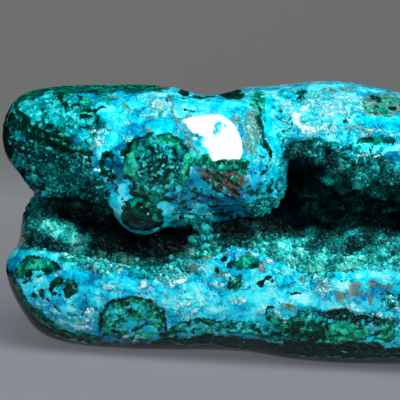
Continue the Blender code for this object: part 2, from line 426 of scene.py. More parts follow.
def spots(mineral: Mineral, *shapes: tuple[float, ...]) -> list[Marking]:
    """Several spots of one mineral, each x, y, across, high and, where it leans, its lean."""
    return [Spot(mineral, *shape) for shape in shapes]


def veins(mineral: Mineral, half: float, *lines: tuple[tuple[float, float], ...]) -> list[Marking]:
    """Several veins of one mineral and one half width."""
    return [Vein(mineral, half, line) for line in lines]


def scattered(
    mineral: Mineral, x: float, y: float, across: float, high: float, count: int, size: tuple[float, float]
) -> list[Marking]:
    """Small spots of one mineral strewn over a rounded part of the drawing grid, the same ones each run.

    Args:
        mineral: What the spots are made of.
        x: The part's middle.
        y: The part's middle.
        across: Its half width.
        high: Its half height.
        count: How many spots.
        size: The smallest and the largest half size of a spot, in cells.

    Returns:
        The spots.
    """
    flattened, leaning = (0.8, 1.6), (-80, 80)
    draw = np.random.default_rng(int(x * 7 + y * 13 + count))
    made: list[Marking] = []
    for _ in range(count):
        turn, out = draw.uniform(0, math.tau), math.sqrt(draw.uniform(0, 1))
        half = draw.uniform(*size)
        place = (x + across * out * math.cos(turn), y + high * out * math.sin(turn))
        made.append(Spot(mineral, *place, half * draw.uniform(*flattened), half, draw.uniform(*leaning)))
    return made


M = Mineral
STATES = (M.SATIN, M.ROUGH)

LOBE: list[Marking] = [
    *spots(M.TEAL, (78, 184, 44, 22, 14), (40, 226, 30, 30)),
    *spots(M.ROUGH, (66, 176, 52, 20, 22), (42, 222, 18, 30), (30, 146, 26, 7, 20)),
    *scattered(M.DARK, 78, 184, 42, 22, 50, (1.4, 4.0)),
    *scattered(M.DARK, 40, 224, 22, 30, 30, (1.0, 2.6)),
    *veins(M.TEAL, 8.0, ((10, 160), (22, 178), (34, 196), (40, 206))),
    *scattered(M.DARK, 28, 186, 14, 18, 26, (1.0, 2.6)),
    *spots(M.TEAL, (50, 122, 54, 36, 10), (40, 160, 46, 26, 20)),
    *spots(M.MALACHITE, (44, 122, 30, 8, 12), (60, 152, 34, 6, 20)),
    *spots(M.SATIN, (58, 118, 56, 34, 8)),
    *scattered(M.MALACHITE, 55, 120, 48, 30, 34, (1.8, 4.6)),
    *scattered(M.TEAL, 55, 130, 50, 34, 60, (2.5, 6.0)),
    *scattered(M.FRESH, 52, 112, 34, 16, 18, (1.6, 3.4)),
    *scattered(M.TEAL, 52, 110, 30, 15, 34, (2.0, 4.5)),
    *scattered(M.DARK, 50, 125, 46, 30, 34, (0.8, 2.2)),
    *veins(M.MALACHITE, 5.0, ((30, 96), (50, 92), (75, 89), (112, 89), (160, 87))),
    *veins(M.SATIN, 9.0, ((20, 96), (60, 88), (100, 86), (150, 86))),
    *veins(M.DARK, 6.5, ((9, 152), (4, 136), (2, 118), (4, 104), (10, 99))),
    *veins(M.SATIN, 7.0, ((8, 100), (3, 118), (5, 140), (14, 158), (26, 178), (30, 200))),
    *spots(M.DARK, (6, 112, 5, 16), (36, 119, 3.5, 2.5), (80, 97, 3, 2), (93, 130, 5, 3.5)),
    *spots(M.MALACHITE, (23, 108, 7, 15), (88, 152, 8, 3), (12, 140, 6, 4), (25, 164, 5, 4)),
    *veins(M.TEAL, 1.2, ((18, 98), (10, 113), (6, 125))),
    *scattered(M.FRESH, 96, 102, 18, 6, 16, (1.0, 2.6)),
    *spots(M.TEAL, (50, 106, 24, 12), (36, 104, 9, 6), (84, 130, 12, 16, 20)),
    *spots(M.CYAN, (36, 105, 7, 4), (52, 97, 6, 4), (73, 101, 3, 3), (84, 134, 5, 6)),
    *veins(M.DARK, 1.6, ((79, 109), (92, 110), (105, 108)), ((83, 118), (96, 112))),
    *veins(M.DARK, 1.0, ((112, 91), (118, 88), (128, 87)), ((28, 124), (40, 132), (48, 138))),
    *spots(M.DEEP, (79, 121, 3, 6), (74, 139, 5, 5)),
    *scattered(M.DEEP, 74, 136, 12, 10, 8, (1.4, 2.8)),
    *spots(M.MILKY, (150, 96, 12, 5), (118, 94, 8, 4), (100, 142, 6, 6)),
    *veins(M.BEIGE, 1.6, ((112, 96), (122, 100), (129, 109)), ((84, 152), (92, 157))),
    *veins(M.CREAM, 1.3, ((93, 130), (100, 136), (105, 145)), ((95, 147), (100, 140), (111, 131))),
    *spots(M.CREAM, (128, 138, 4.5, 3.5), (98, 141, 4, 5), (103, 132, 3, 2)),
    *veins(M.DEEP, 3.0, ((14, 135), (30, 146), (48, 153), (70, 160))),
    *spots(M.TEAL, (30, 165, 22, 16, 20), (74, 168, 16, 13), (70, 185, 18, 10)),
    *scattered(M.DARK, 55, 165, 36, 18, 26, (1.0, 3.0)),
    *scattered(M.TURQUOISE, 76, 174, 18, 12, 18, (0.9, 2.0)),
    *veins(M.DARK, 1.8, ((46, 143), (60, 150), (88, 154), (92, 168))),
    *spots(M.DARK, (52, 108, 28, 13)),
    *scattered(M.TURQUOISE, 52, 108, 29, 14, 66, (2.1, 4.0)),
    *scattered(M.FRESH, 56, 108, 29, 13, 32, (1.3, 3.0)),
    *scattered(M.TURQUOISE, 74, 126, 14, 11, 22, (1.2, 2.8)),
    *scattered(M.DARK, 60, 118, 30, 14, 26, (0.5, 1.2)),
    # Painted shade: dark bands and spots where the lobe turns under, below its polished top.
    *veins(M.DARK, 4.2, ((12, 118), (24, 131), (42, 141), (60, 146))),
    *veins(M.DARK, 2.6, ((20, 112), (34, 128), (52, 136), (70, 142))),
    *spots(M.DARK, (24, 148, 13, 6, 30), (52, 158, 12, 4, 12)),
]

COLUMN: list[Marking] = [
    *spots(M.DARK, (107, 164, 7.5, 14, 8), (125, 154, 4.5, 4.5)),
    *spots(M.DARK, (126, 178, 2.2, 2.8), (135, 189, 4, 6, 25)),
    *veins(M.DEEP, 3.6, ((96, 148), (96, 174), (112, 187), (117, 205))),
    *spots(M.DEEP, (120, 170, 6, 16), (118, 146, 10, 6)),
    *spots(M.MILKY, (122, 190, 6, 4, 20), (155, 207, 6, 3), (170, 206, 6, 3)),
    *spots(M.CYAN, (110, 113, 13, 7), (112, 140, 12, 8), (122, 102, 5, 4)),
]

EYE = Spot(M.DEEP, 108.5, 164, 3.8, 5.5)

KNOB: list[Marking] = [
    *spots(M.SATIN, (112, 118, 22, 14), (140, 108, 14, 12), (200, 97, 60, 9), (266, 140, 14, 44)),
    *spots(M.ROUGH, (201, 140, 3.5, 4.5, 20), (218, 129, 3, 5.5, 50)),
    *spots(M.MALACHITE, (158, 163, 35, 31)),
    *spots(M.FRESH, (158, 163, 31, 27), (129, 167, 4, 10), (188, 157, 8, 5), (178, 178, 9, 7)),
    *spots(M.TEAL, (160, 165, 27, 24), (150, 144, 14, 6), (176, 160, 12, 12), (152, 190, 16, 9)),
    *spots(M.MALACHITE, (134, 144, 6, 8, 40), (150, 196, 18, 6, 10)),
    *spots(M.MALACHITE, (222, 163, 30, 8, 6), (165, 200, 20, 4, 8)),
    *spots(M.DEEP, (200, 188, 20, 16, 10), (222, 204, 40, 9, 2), (172, 150, 5, 4), (180, 154, 5, 4)),
    *spots(M.DEEP, (204, 172, 10, 5, 30), (184, 199, 14, 6), (168, 205, 30, 5, 6)),
    *scattered(M.TEAL, 196, 190, 24, 18, 22, (1.2, 3.0)),
    *veins(M.DARK, 0.8, ((168, 198), (182, 202), (196, 200), (212, 206), (232, 207), (250, 201))),
    *veins(M.DARK, 0.9, ((176, 210), (192, 213), (206, 212), (222, 215), (240, 212))),
    *veins(M.DARK, 0.7, ((184, 184), (194, 192), (208, 197), (222, 200)), ((200, 208), (204, 201))),
    *scattered(M.DARK, 205, 200, 34, 12, 22, (0.7, 1.6)),
    *scattered(M.DARK, 160, 163, 22, 18, 70, (1.2, 2.8)),
    *scattered(M.DARK, 157, 164, 14, 12, 40, (1.8, 3.6)),
    *scattered(M.TURQUOISE, 160, 163, 23, 19, 46, (0.7, 1.7)),
    *scattered(M.TURQUOISE, 164, 150, 20, 8, 14, (0.9, 2.0)),
    *scattered(M.FRESH, 160, 168, 24, 20, 30, (0.9, 1.8)),
    *veins(M.DARK, 1.8, ((127, 150), (133, 141), (141, 138)), ((131, 186), (137, 195), (150, 201))),
    *veins(M.BEIGE, 1.5, ((147, 129), (155, 135), (163, 137), (176, 136), (184, 126), (192, 117))),
    *veins(M.BEIGE, 2.2, ((190, 117), (187, 130), (189, 143), (198, 152))),
    *veins(M.BEIGE, 2.2, ((171, 97), (174, 110), (178, 122))),
    *spots(M.CYAN, (162, 125, 14, 9, -14), (200, 101, 24, 5), (230, 103, 24, 5), (175, 92, 6, 7)),
    # Painted highlight: the milky spot at 159, 105 and the cream spots below paint the white highlight on the
    # knob's upper left; the milky spot at 180, 110 is the stone's own.
    *spots(M.MILKY, (180, 110, 8, 8), (159, 105, 14, 12)),
    *spots(M.CREAM, (157, 104, 7, 6), (163, 112, 3, 5)),
    *veins(M.DARK, 0.8, ((169, 96), (166, 106)), ((186, 110), (194, 111))),
    *veins(M.BEIGE, 1.0, ((166, 106), (158, 114), (148, 118))),
    *spots(M.DARK, (184, 93, 6, 4.5, 30), (203, 97.5, 14, 1.6), (231, 94, 13, 5.5)),
    *veins(M.MALACHITE, 2.4, ((92, 88), (130, 88), (168, 88))),
    *scattered(M.MALACHITE, 222, 163, 30, 8, 34, (1.0, 2.2)),
    *scattered(M.FRESH, 220, 162, 30, 8, 26, (0.8, 1.8)),
    *spots(M.BROWN, (222, 182, 24, 7, 30), (236, 178, 14, 6, 22)),
    *veins(M.DARK, 1.5, ((210, 172), (226, 184), (241, 195)), ((203, 178), (220, 191), (236, 200))),
    *veins(M.DARK, 1.1, ((219, 172), (234, 182), (246, 191))),
    *veins(M.MALACHITE, 1.0, ((214, 180), (228, 191), (240, 199))),
    *spots(M.DEEP, (211, 180, 3, 2.5), (240, 190, 3, 2.5), (226, 190, 2.5, 2)),
    *scattered(M.FRESH, 228, 184, 18, 8, 12, (0.8, 1.6)),
    *spots(M.FRESH, (246, 172, 4, 3), (259, 102, 8, 11)),
    *spots(M.BEIGE, (252, 132, 8, 26), (237, 119, 4, 5)),
    *veins(M.MALACHITE, 2.2, ((258, 96), (260, 121), (265, 141), (271, 157))),
    *veins(M.DARK, 0.8, ((259, 104), (261, 121), (265, 141), (271, 157), (267, 172), (256, 173))),
    *scattered(M.MALACHITE, 262, 124, 7, 34, 22, (0.8, 2.0)),
    *scattered(M.BEIGE, 254, 128, 7, 28, 20, (1.0, 2.6)),
    *veins(M.CYAN, 4.5, (
        (268, 99), (269, 124), (276, 146), (279, 162), (275, 177), (266, 190), (250, 204)
    )),
    *scattered(M.MALACHITE, 264, 196, 22, 18, 30, (1.2, 3.0)),
    *scattered(M.DARK, 264, 196, 18, 16, 14, (0.6, 1.3)),
    *veins(M.MILKY, 1.2, ((246, 113), (250, 130), (254, 150))),
    *spots(M.CYAN, (204, 206, 8, 3.5), (162, 207, 16, 4)),
    *spots(M.TEAL, (190, 219, 26, 7), (262, 205, 18, 9, -24)),
    *scattered(M.CYAN, 200, 217, 30, 6, 18, (1.0, 2.2)),
    *scattered(M.DARK, 215, 218, 36, 7, 16, (1.0, 2.4)),
    *spots(M.ROUGH, (192, 222, 28, 6), (268, 207, 20, 10, -30), (281, 180, 5, 28)),
]

BULB: list[Marking] = [
    *spots(M.SATIN, (148, 212, 7, 5), (97, 171, 4, 3)),
    *spots(M.CYAN, (116, 206, 5, 16, -12), (160, 226, 12, 8, -30)),
    *spots(M.DARK, (144, 219, 22, 14, 8)),
    *spots(M.MALACHITE, (143, 208, 20, 9, 22), (158, 218, 7, 6)),
    *scattered(M.DARK, 142, 211, 18, 9, 26, (0.9, 2.2)),
    *scattered(M.BROWN, 138, 224, 14, 6, 6, (0.9, 1.8)),
    *scattered(M.FRESH, 150, 207, 14, 6, 10, (0.8, 1.6)),
    *veins(M.CYAN, 2.4, ((117, 206), (121, 222), (132, 231), (151, 234), (163, 228), (169, 216))),
    *veins(M.MILKY, 0.7, ((118, 210), (123, 223), (134, 232), (152, 235))),
    # Painted shadow: a near-black band at the hollow's edge, beneath the lobe.
    *veins(M.DARK, 4.6, ((92, 194), (102, 203), (110, 213))),
    *veins(M.ROUGH, 4.6, ((92, 194), (102, 203), (109, 211))),
]

BROW: list[Marking] = [
    *spots(M.SATIN, (360, 118, 60, 40)),
    *spots(M.ROUGH, (330, 152, 34, 12), (370, 174, 34, 20)),
    *spots(M.SATIN, (284, 120, 12, 34), (394, 158, 14, 12), (340, 106, 30, 14), (350, 128, 50, 12)),
    *spots(M.CYAN, (284, 120, 9, 34)),
    *spots(M.TEAL, (318, 150, 20, 13), (368, 168, 26, 18), (392, 180, 10, 18)),
    *scattered(M.MILKY, 284, 116, 9, 30, 46, (1.2, 3.4)),
    *scattered(M.CREAM, 286, 112, 8, 18, 8, (0.8, 1.6)),
    *scattered(M.TEAL, 284, 120, 9, 32, 26, (0.9, 2.2)),
    *scattered(M.TURQUOISE, 286, 120, 10, 30, 44, (1.0, 2.4)),
    *scattered(M.DARK, 287, 124, 10, 27, 34, (0.6, 1.5)),
    *veins(M.DARK, 1.0, ((278, 118), (286, 122), (293, 118)), ((282, 134), (289, 129), (296, 131))),
    *spots(M.MALACHITE, (302, 94, 7, 5), (378, 142, 20, 4.5)),
    *spots(M.ASH, (382, 105, 23, 12)),
    *scattered(M.MALACHITE, 382, 105, 20, 9, 30, (1.2, 3.0)),
    *scattered(M.FRESH, 382, 105, 20, 9, 24, (1.0, 2.6)),
    *spots(M.BEIGE, (330, 91, 8, 3), (346, 88, 9, 2), (351, 109, 6, 4.5), (372, 104, 8, 5)),
    *spots(M.CYAN, (318, 90, 10, 6), (384, 119, 24, 5), (366, 147, 36, 6), (315, 128, 10, 5)),
    # Painted sheen: the milky spots at 310, 105 and 310, 127 stand in for white highlights on the brow.
    *spots(M.MILKY, (310, 105, 10, 6), (310, 127, 13, 10), (340, 120, 8, 5)),
    *spots(M.MILKY, (341, 106, 24, 14)),
    # Painted highlight: the cream spots at 312, 127 and 309, 104 whiten the brow's sheen; the other two are
    # cream in the stone.
    *spots(M.CREAM, (341, 106, 18, 11), (362, 133, 10, 3), (312, 127, 10, 8), (309, 104, 8, 4)),
    *scattered(M.CYAN, 341, 106, 20, 12, 30, (1.0, 2.4)),
    *veins(M.CREAM, 2.0, ((360, 133), (380, 132), (402, 136))),
    *veins(M.BEIGE, 2.6, ((346, 128), (362, 131), (372, 134))),
    *scattered(M.DARK, 341, 106, 20, 12, 26, (0.6, 1.3)),
    *spots(M.DARK, (347, 121, 2, 2), (299, 99, 4, 3), (376, 98, 4, 2), (392, 108, 3, 2)),
    *spots(M.DEEP, (336, 158, 5, 6), (393, 158, 7, 9)),
    *scattered(M.TURQUOISE, 350, 158, 44, 16, 60, (0.8, 2.4)),
    *scattered(M.DARK, 350, 164, 44, 18, 50, (1.0, 2.6)),
    *scattered(M.CREAM, 316, 104, 16, 10, 10, (0.8, 1.6)),
    *scattered(M.TURQUOISE, 312, 96, 24, 8, 26, (0.8, 1.8)),
    # Painted highlight: the cream spots at 311, 126 and 309, 103 whiten the brow's sheen further.
    *spots(M.CREAM, (311, 126, 12, 9), (309, 103, 9, 5), (328, 127, 9, 5)),
    *scattered(M.CREAM, 332, 104, 17, 12, 34, (1.2, 3.0)),
    *scattered(M.DARK, 334, 106, 18, 13, 18, (0.5, 1.1)),
]

RIM: list[Marking] = [
    *veins(M.ROUGH, 5.0, ((66, 256), (110, 260), (150, 259), (186, 253), (215, 250))),
    *veins(M.ROUGH, 5.0, ((215, 249), (244, 244), (270, 250), (300, 262), (340, 268), (402, 264))),
    *spots(M.ROUGH, (104, 264, 26, 9, 4), (172, 268, 20, 13, -8)),
    *veins(M.SATIN, 14.0, ((10, 262), (70, 266), (150, 266), (240, 262), (300, 276), (402, 276))),
    *veins(M.FRESH, 6.0, ((66, 256), (90, 260), (130, 264), (160, 262), (186, 255), (215, 250))),
    *veins(M.CYAN, 3.0, ((215, 250), (244, 244), (270, 252), (300, 266), (340, 272), (402, 268))),
    *scattered(M.CYAN, 140, 264, 66, 11, 70, (1.2, 3.6)),
    *scattered(M.CREAM, 104, 264, 24, 9, 34, (1.0, 3.0)),
    *scattered(M.CREAM, 172, 268, 18, 12, 34, (1.0, 3.4)),
    *scattered(M.TEAL, 140, 264, 66, 11, 40, (1.0, 2.4)),
]

SLAB_LEFT: list[Marking] = [
    *veins(M.CYAN, 3.0, ((6, 256), (20, 253), (33, 255), (44, 251), (54, 258), (66, 254), (80, 262))),
    *spots(M.MALACHITE, (38, 267, 20, 9), (21, 271, 5, 8)),
    *spots(M.FRESH, (40, 265, 10, 4.5), (21, 270, 3, 6)),
    *spots(M.CYAN, (38, 273, 10, 3.5)),
    *spots(M.DARK, (31, 274, 4, 4), (27, 281, 4, 2.5), (49, 272, 4, 3), (58, 266, 3.5, 4)),
    *veins(M.DARK, 1.2, ((19, 262), (30, 258), (47, 258), (56, 264))),
    *veins(M.MILKY, 1.8, ((38, 280), (44, 278)), ((66, 300), (73, 302))),
    *spots(M.MALACHITE, (57, 284, 8, 6), (72, 287, 7, 8)),
    *spots(M.DARK, (58, 282, 5.5, 4.5), (52, 288, 4, 5), (56, 294, 3, 2)),
    *spots(M.DARK, (69, 286, 2.5, 2.5), (78, 284, 3.5, 2.5)),
    *spots(M.DARK, (69, 293, 5, 5.5), (42, 292, 2.2, 5), (47, 300, 1.5, 2), (35, 296, 2.5, 3)),
    *veins(M.DARK, 3.2, (
        (6, 270), (11, 283), (16, 294), (23, 306), (32, 315), (42, 325), (56, 332), (90, 340)
    )),
    *veins(M.MALACHITE, 4.0, ((10, 274), (18, 290), (30, 307), (44, 320), (66, 333), (100, 339))),
    *veins(M.DARK, 3.2, ((26, 322), (46, 337), (61, 342), (92, 347), (130, 349))),
    *spots(M.CREAM, (84, 322, 9, 4, 14), (92, 313, 5, 5, 40), (86, 328, 8, 2, 8)),
    *veins(M.CREAM, 1.5, ((52, 309), (60, 314), (70, 319), (80, 318), (90, 323))),
    *veins(M.CREAM, 1.5, ((58, 318), (70, 325), (84, 330))),
    *veins(M.DARK, 0.9, ((56, 306), (64, 312), (72, 316), (82, 316)), ((74, 306), (84, 314), (90, 310))),
    *veins(M.DARK, 0.8, ((60, 318), (70, 322), (80, 326), (92, 324)), ((84, 300), (90, 306), (98, 308))),
    *spots(M.MILKY, (66, 311, 12, 4), (96, 303, 8, 5)),
    *spots(M.BEIGE, (102, 262, 11, 4.5), (92, 270, 4, 3)),
    *spots(M.CREAM, (108, 287, 4, 3), (143, 287, 3, 5), (118, 262, 3, 2)),
    *spots(M.CYAN, (110, 275, 8, 4.5), (84, 274, 7, 6)),
    *spots(M.TEAL, (149, 270, 13, 10)),
    *scattered(M.DARK, 50, 290, 26, 16, 14, (0.6, 1.3)),
    *scattered(M.CREAM, 118, 276, 22, 14, 10, (0.7, 1.4)),
]

OVAL: list[Marking] = [
    *spots(M.MALACHITE, (132, 320, 34, 22, 4)),
    *veins(M.DARK, 1.7, (
        (101, 334), (102, 313), (112, 303), (133, 298), (150, 300), (164, 310), (168, 330)
    )),
    *spots(M.FRESH, (117, 313, 7, 7), (146, 316, 12, 6), (156, 322, 8, 6)),
    *spots(M.FRESH, (108, 328, 6, 5), (148, 334, 12, 4)),
    *spots(M.TEAL, (143, 308, 7, 5.5), (112, 334, 8, 4)),
    *spots(M.DARK, (128, 309, 6, 6), (117, 331, 5, 3), (163, 334, 5, 3), (108, 318, 3, 6)),
    *spots(M.ASH, (153, 301, 5, 2)),
    *veins(M.DARK, 1.3, ((126, 330), (136, 330), (146, 328))),
    *veins(M.CREAM, 2.2, ((124, 338), (131, 334), (138, 336), (136, 341))),
    *scattered(M.FRESH, 132, 316, 28, 15, 46, (0.9, 2.6)),
    *scattered(M.TURQUOISE, 132, 318, 26, 14, 40, (1.1, 2.8)),
    *scattered(M.DARK, 132, 316, 28, 14, 34, (0.8, 2.0)),
    *spots(M.CYAN, (134, 324, 15, 6), (152, 331, 11, 5.5)),
    *veins(M.DARK, 1.2, ((124, 331), (136, 330), (147, 327))),
]

SLAB_MIDDLE: list[Marking] = [
    *spots(M.TEAL, (148, 266, 24, 7), (236, 284, 9, 9)),
    *spots(M.TURQUOISE, (155, 265, 4, 4), (180, 268, 6, 5), (188, 281, 6, 4)),
    *spots(M.TURQUOISE, (162, 262, 4, 3), (199, 274, 4, 3)),
    *spots(M.BEIGE, (167, 268, 6, 5), (191, 267, 7, 7), (219, 274, 6, 4), (206, 258, 8, 3)),
    *spots(M.CREAM, (173, 283, 8, 5), (143, 288, 4, 4), (219, 284, 9, 4), (202, 268, 3, 2)),
    *veins(M.CREAM, 1.5, ((180, 300), (183, 306), (190, 304), (187, 298), (181, 299))),
    *veins(M.CREAM, 1.5, ((191, 315), (208, 301))),
    *veins(M.DARK, 0.9, ((188, 300), (192, 306), (200, 304), (208, 299))),
    *spots(M.MILKY, (172, 303, 14, 6), (229, 311, 18, 4), (268, 303, 24, 6)),
    *spots(M.CYAN, (250, 300, 30, 9)),
    *spots(M.CREAM, (239, 301, 8, 4.5), (263, 311, 4, 3, -30)),
    *spots(M.ASH, (263, 266, 5, 6), (252, 255, 12, 3)),
    *spots(M.MALACHITE, (247, 263, 15, 7), (236, 284, 6, 5.5)),
    *scattered(M.FRESH, 247, 262, 12, 5, 12, (0.8, 2.0)),
    *veins(M.MILKY, 2.0, ((236, 260), (240, 254), (252, 250), (264, 256), (268, 262))),
    *spots(M.DARK, (232, 264, 3, 3), (226, 259, 2.5, 2), (217, 270, 2.5, 2.5), (237, 270, 3, 1.5)),
    *spots(M.DARK, (262, 284, 5, 4, -45), (268, 279, 4, 3.5), (273, 283, 3, 2.6), (196, 259, 2, 1.6)),
    *spots(M.FRESH, (273, 322, 8, 10), (248, 330, 10, 3), (222, 326, 12, 4)),
    *veins(M.MALACHITE, 6.5, ((172, 334), (186, 326), (205, 325), (240, 328), (262, 333), (290, 337))),
    *spots(M.MALACHITE, (276, 324, 12, 13)),
    *scattered(M.FRESH, 274, 322, 10, 11, 20, (1.0, 2.4)),
    *veins(M.DARK, 1.5, ((268, 320), (268, 309), (273, 306))),
    *veins(M.DARK, 1.5, ((196, 320), (212, 324), (240, 327), (262, 331))),
    *spots(M.CYAN, (262, 321, 6, 8), (250, 320, 10, 4), (205, 316, 8, 4), (180, 296, 8, 3)),
    *veins(M.DARK, 4.0, ((166, 341), (190, 338), (226, 339), (256, 343), (290, 348))),
    *veins(M.DEEP, 1.8, ((178, 338), (196, 334), (226, 335), (250, 338))),
    *veins(M.CYAN, 0.7, ((170, 336), (200, 333), (228, 334), (256, 338), (282, 343))),
    *scattered(M.TURQUOISE, 230, 327, 52, 7, 60, (1.2, 2.6)),
    *scattered(M.DARK, 230, 327, 46, 6, 36, (0.7, 1.8)),
    *scattered(M.FRESH, 230, 327, 46, 6, 26, (0.7, 1.8)),
    *scattered(M.CREAM, 200, 290, 40, 24, 14, (0.6, 1.3)),
    *scattered(M.DARK, 220, 285, 40, 26, 12, (0.5, 1.1)),
]

SLAB_RIGHT: list[Marking] = [
    *veins(M.MILKY, 5.0, ((262, 254), (286, 265), (316, 273), (350, 273), (402, 270))),
    *scattered(M.TURQUOISE, 296, 264, 30, 10, 30, (1.4, 3.2)),
    *scattered(M.TURQUOISE, 320, 281, 13, 11, 24, (1.0, 2.4)),
    *veins(M.CYAN, 5.0, ((248, 248), (268, 258), (288, 268)), ((332, 276), (360, 273), (402, 276))),
    *spots(M.CREAM, (322, 282, 9, 6, 40)),
    *veins(M.MILKY, 2.0, ((270, 268), (282, 272), (296, 270), (306, 280), (310, 290))),
    *spots(M.BEIGE, (303, 280, 3, 4), (289, 307, 9, 3.5, 12)),
    *spots(M.CREAM, (322, 290, 7, 3.2)),
    *veins(M.DARK, 0.8, ((292, 294), (302, 292), (312, 294))),
    *spots(M.MILKY, (308, 298, 17, 6), (386, 276, 16, 7), (332, 304, 10, 5)),
    *spots(M.MILKY, (336, 286, 14, 6), (368, 306, 16, 6)),
    *spots(M.ASH, (341, 297, 7, 6), (354, 290, 5, 9, 40), (374, 284, 8, 4, 10), (387, 287, 7, 2)),
    *spots(M.ASH, (338, 313, 12, 5), (370, 296, 2, 9), (360, 294, 5, 3)),
    *veins(M.CREAM, 1.2, ((344, 301), (350, 308), (358, 312), (366, 315))),
    *veins(M.CREAM, 1.6, ((362, 314), (376, 316), (402, 318))),
    *veins(M.DARK, 1.2, ((380, 295), (386, 293), (392, 296), (402, 295))),
    *spots(M.TEAL, (394, 303, 14, 9)),
    *spots(M.CREAM, (386, 308, 4, 2.4), (394, 302, 5, 4), (400, 308, 4, 2)),
    *scattered(M.DARK, 393, 303, 10, 6, 12, (0.6, 1.4)),
    *veins(M.CREAM, 1.5, ((279, 311), (284, 319), (292, 323))),
    *spots(M.DARK, (299, 313, 2.2, 3)),
    *spots(M.TEAL, (310, 318, 14, 11), (392, 321, 11, 4)),
    *scattered(M.TURQUOISE, 304, 322, 22, 12, 34, (0.8, 1.9)),
    *spots(M.MALACHITE, (300, 331, 26, 14, 10), (346, 332, 28, 12), (384, 331, 14, 11)),
    *scattered(M.FRESH, 380, 326, 18, 12, 26, (1.0, 2.6)),
    *spots(M.DARK, (299, 332, 10, 6), (315, 337, 12, 5), (352, 316, 34, 6, 4), (325, 322, 5, 12)),
    *spots(M.FRESH, (345, 332, 24, 9)),
    *spots(M.ASH, (373, 329, 6, 4), (300, 326, 4, 3)),
    *veins(M.FRESH, 1.2, ((322, 341), (336, 341), (352, 340), (368, 343), (384, 346))),
    *veins(M.DARK, 3.5, ((284, 345), (322, 346), (352, 345), (384, 350), (402, 351))),
    *veins(M.MALACHITE, 0.7, ((330, 330), (345, 327), (362, 330)), ((328, 336), (346, 334), (364, 336))),
    *spots(M.TURQUOISE, (400, 331, 5, 6)),
    *scattered(M.DARK, 306, 326, 24, 16, 50, (0.8, 2.2)),
    *scattered(M.FRESH, 306, 326, 24, 14, 26, (0.8, 1.8)),
    *scattered(M.BEIGE, 356, 317, 30, 5, 18, (0.6, 1.3)),
    *scattered(M.BEIGE, 372, 331, 10, 7, 12, (0.6, 1.3)),
    *scattered(M.CREAM, 290, 262, 30, 10, 16, (0.8, 1.8)),
    *spots(M.ROUGH, (296, 260, 30, 9, 22), (322, 277, 14, 9)),
]

FOOT: list[Marking] = [
    *veins(M.MALACHITE, 10.0, (
        (60, 352), (130, 352), (200, 348), (250, 352), (285, 356), (330, 360), (410, 364)
    )),
    *veins(M.DARK, 8.0, (
        (60, 352), (130, 352), (200, 346), (250, 350), (285, 354), (330, 358), (410, 362)
    )),
    *veins(M.DARK, 6.0, ((2, 272), (10, 290), (22, 312), (38, 331), (56, 342), (80, 348))),
    *veins(M.DARK, 3.5, ((282, 348), (310, 348), (350, 349), (410, 351))),
    *veins(M.MALACHITE, 1.2, ((172, 344), (210, 345), (250, 350)), ((290, 354), (340, 357), (400, 358))),
]


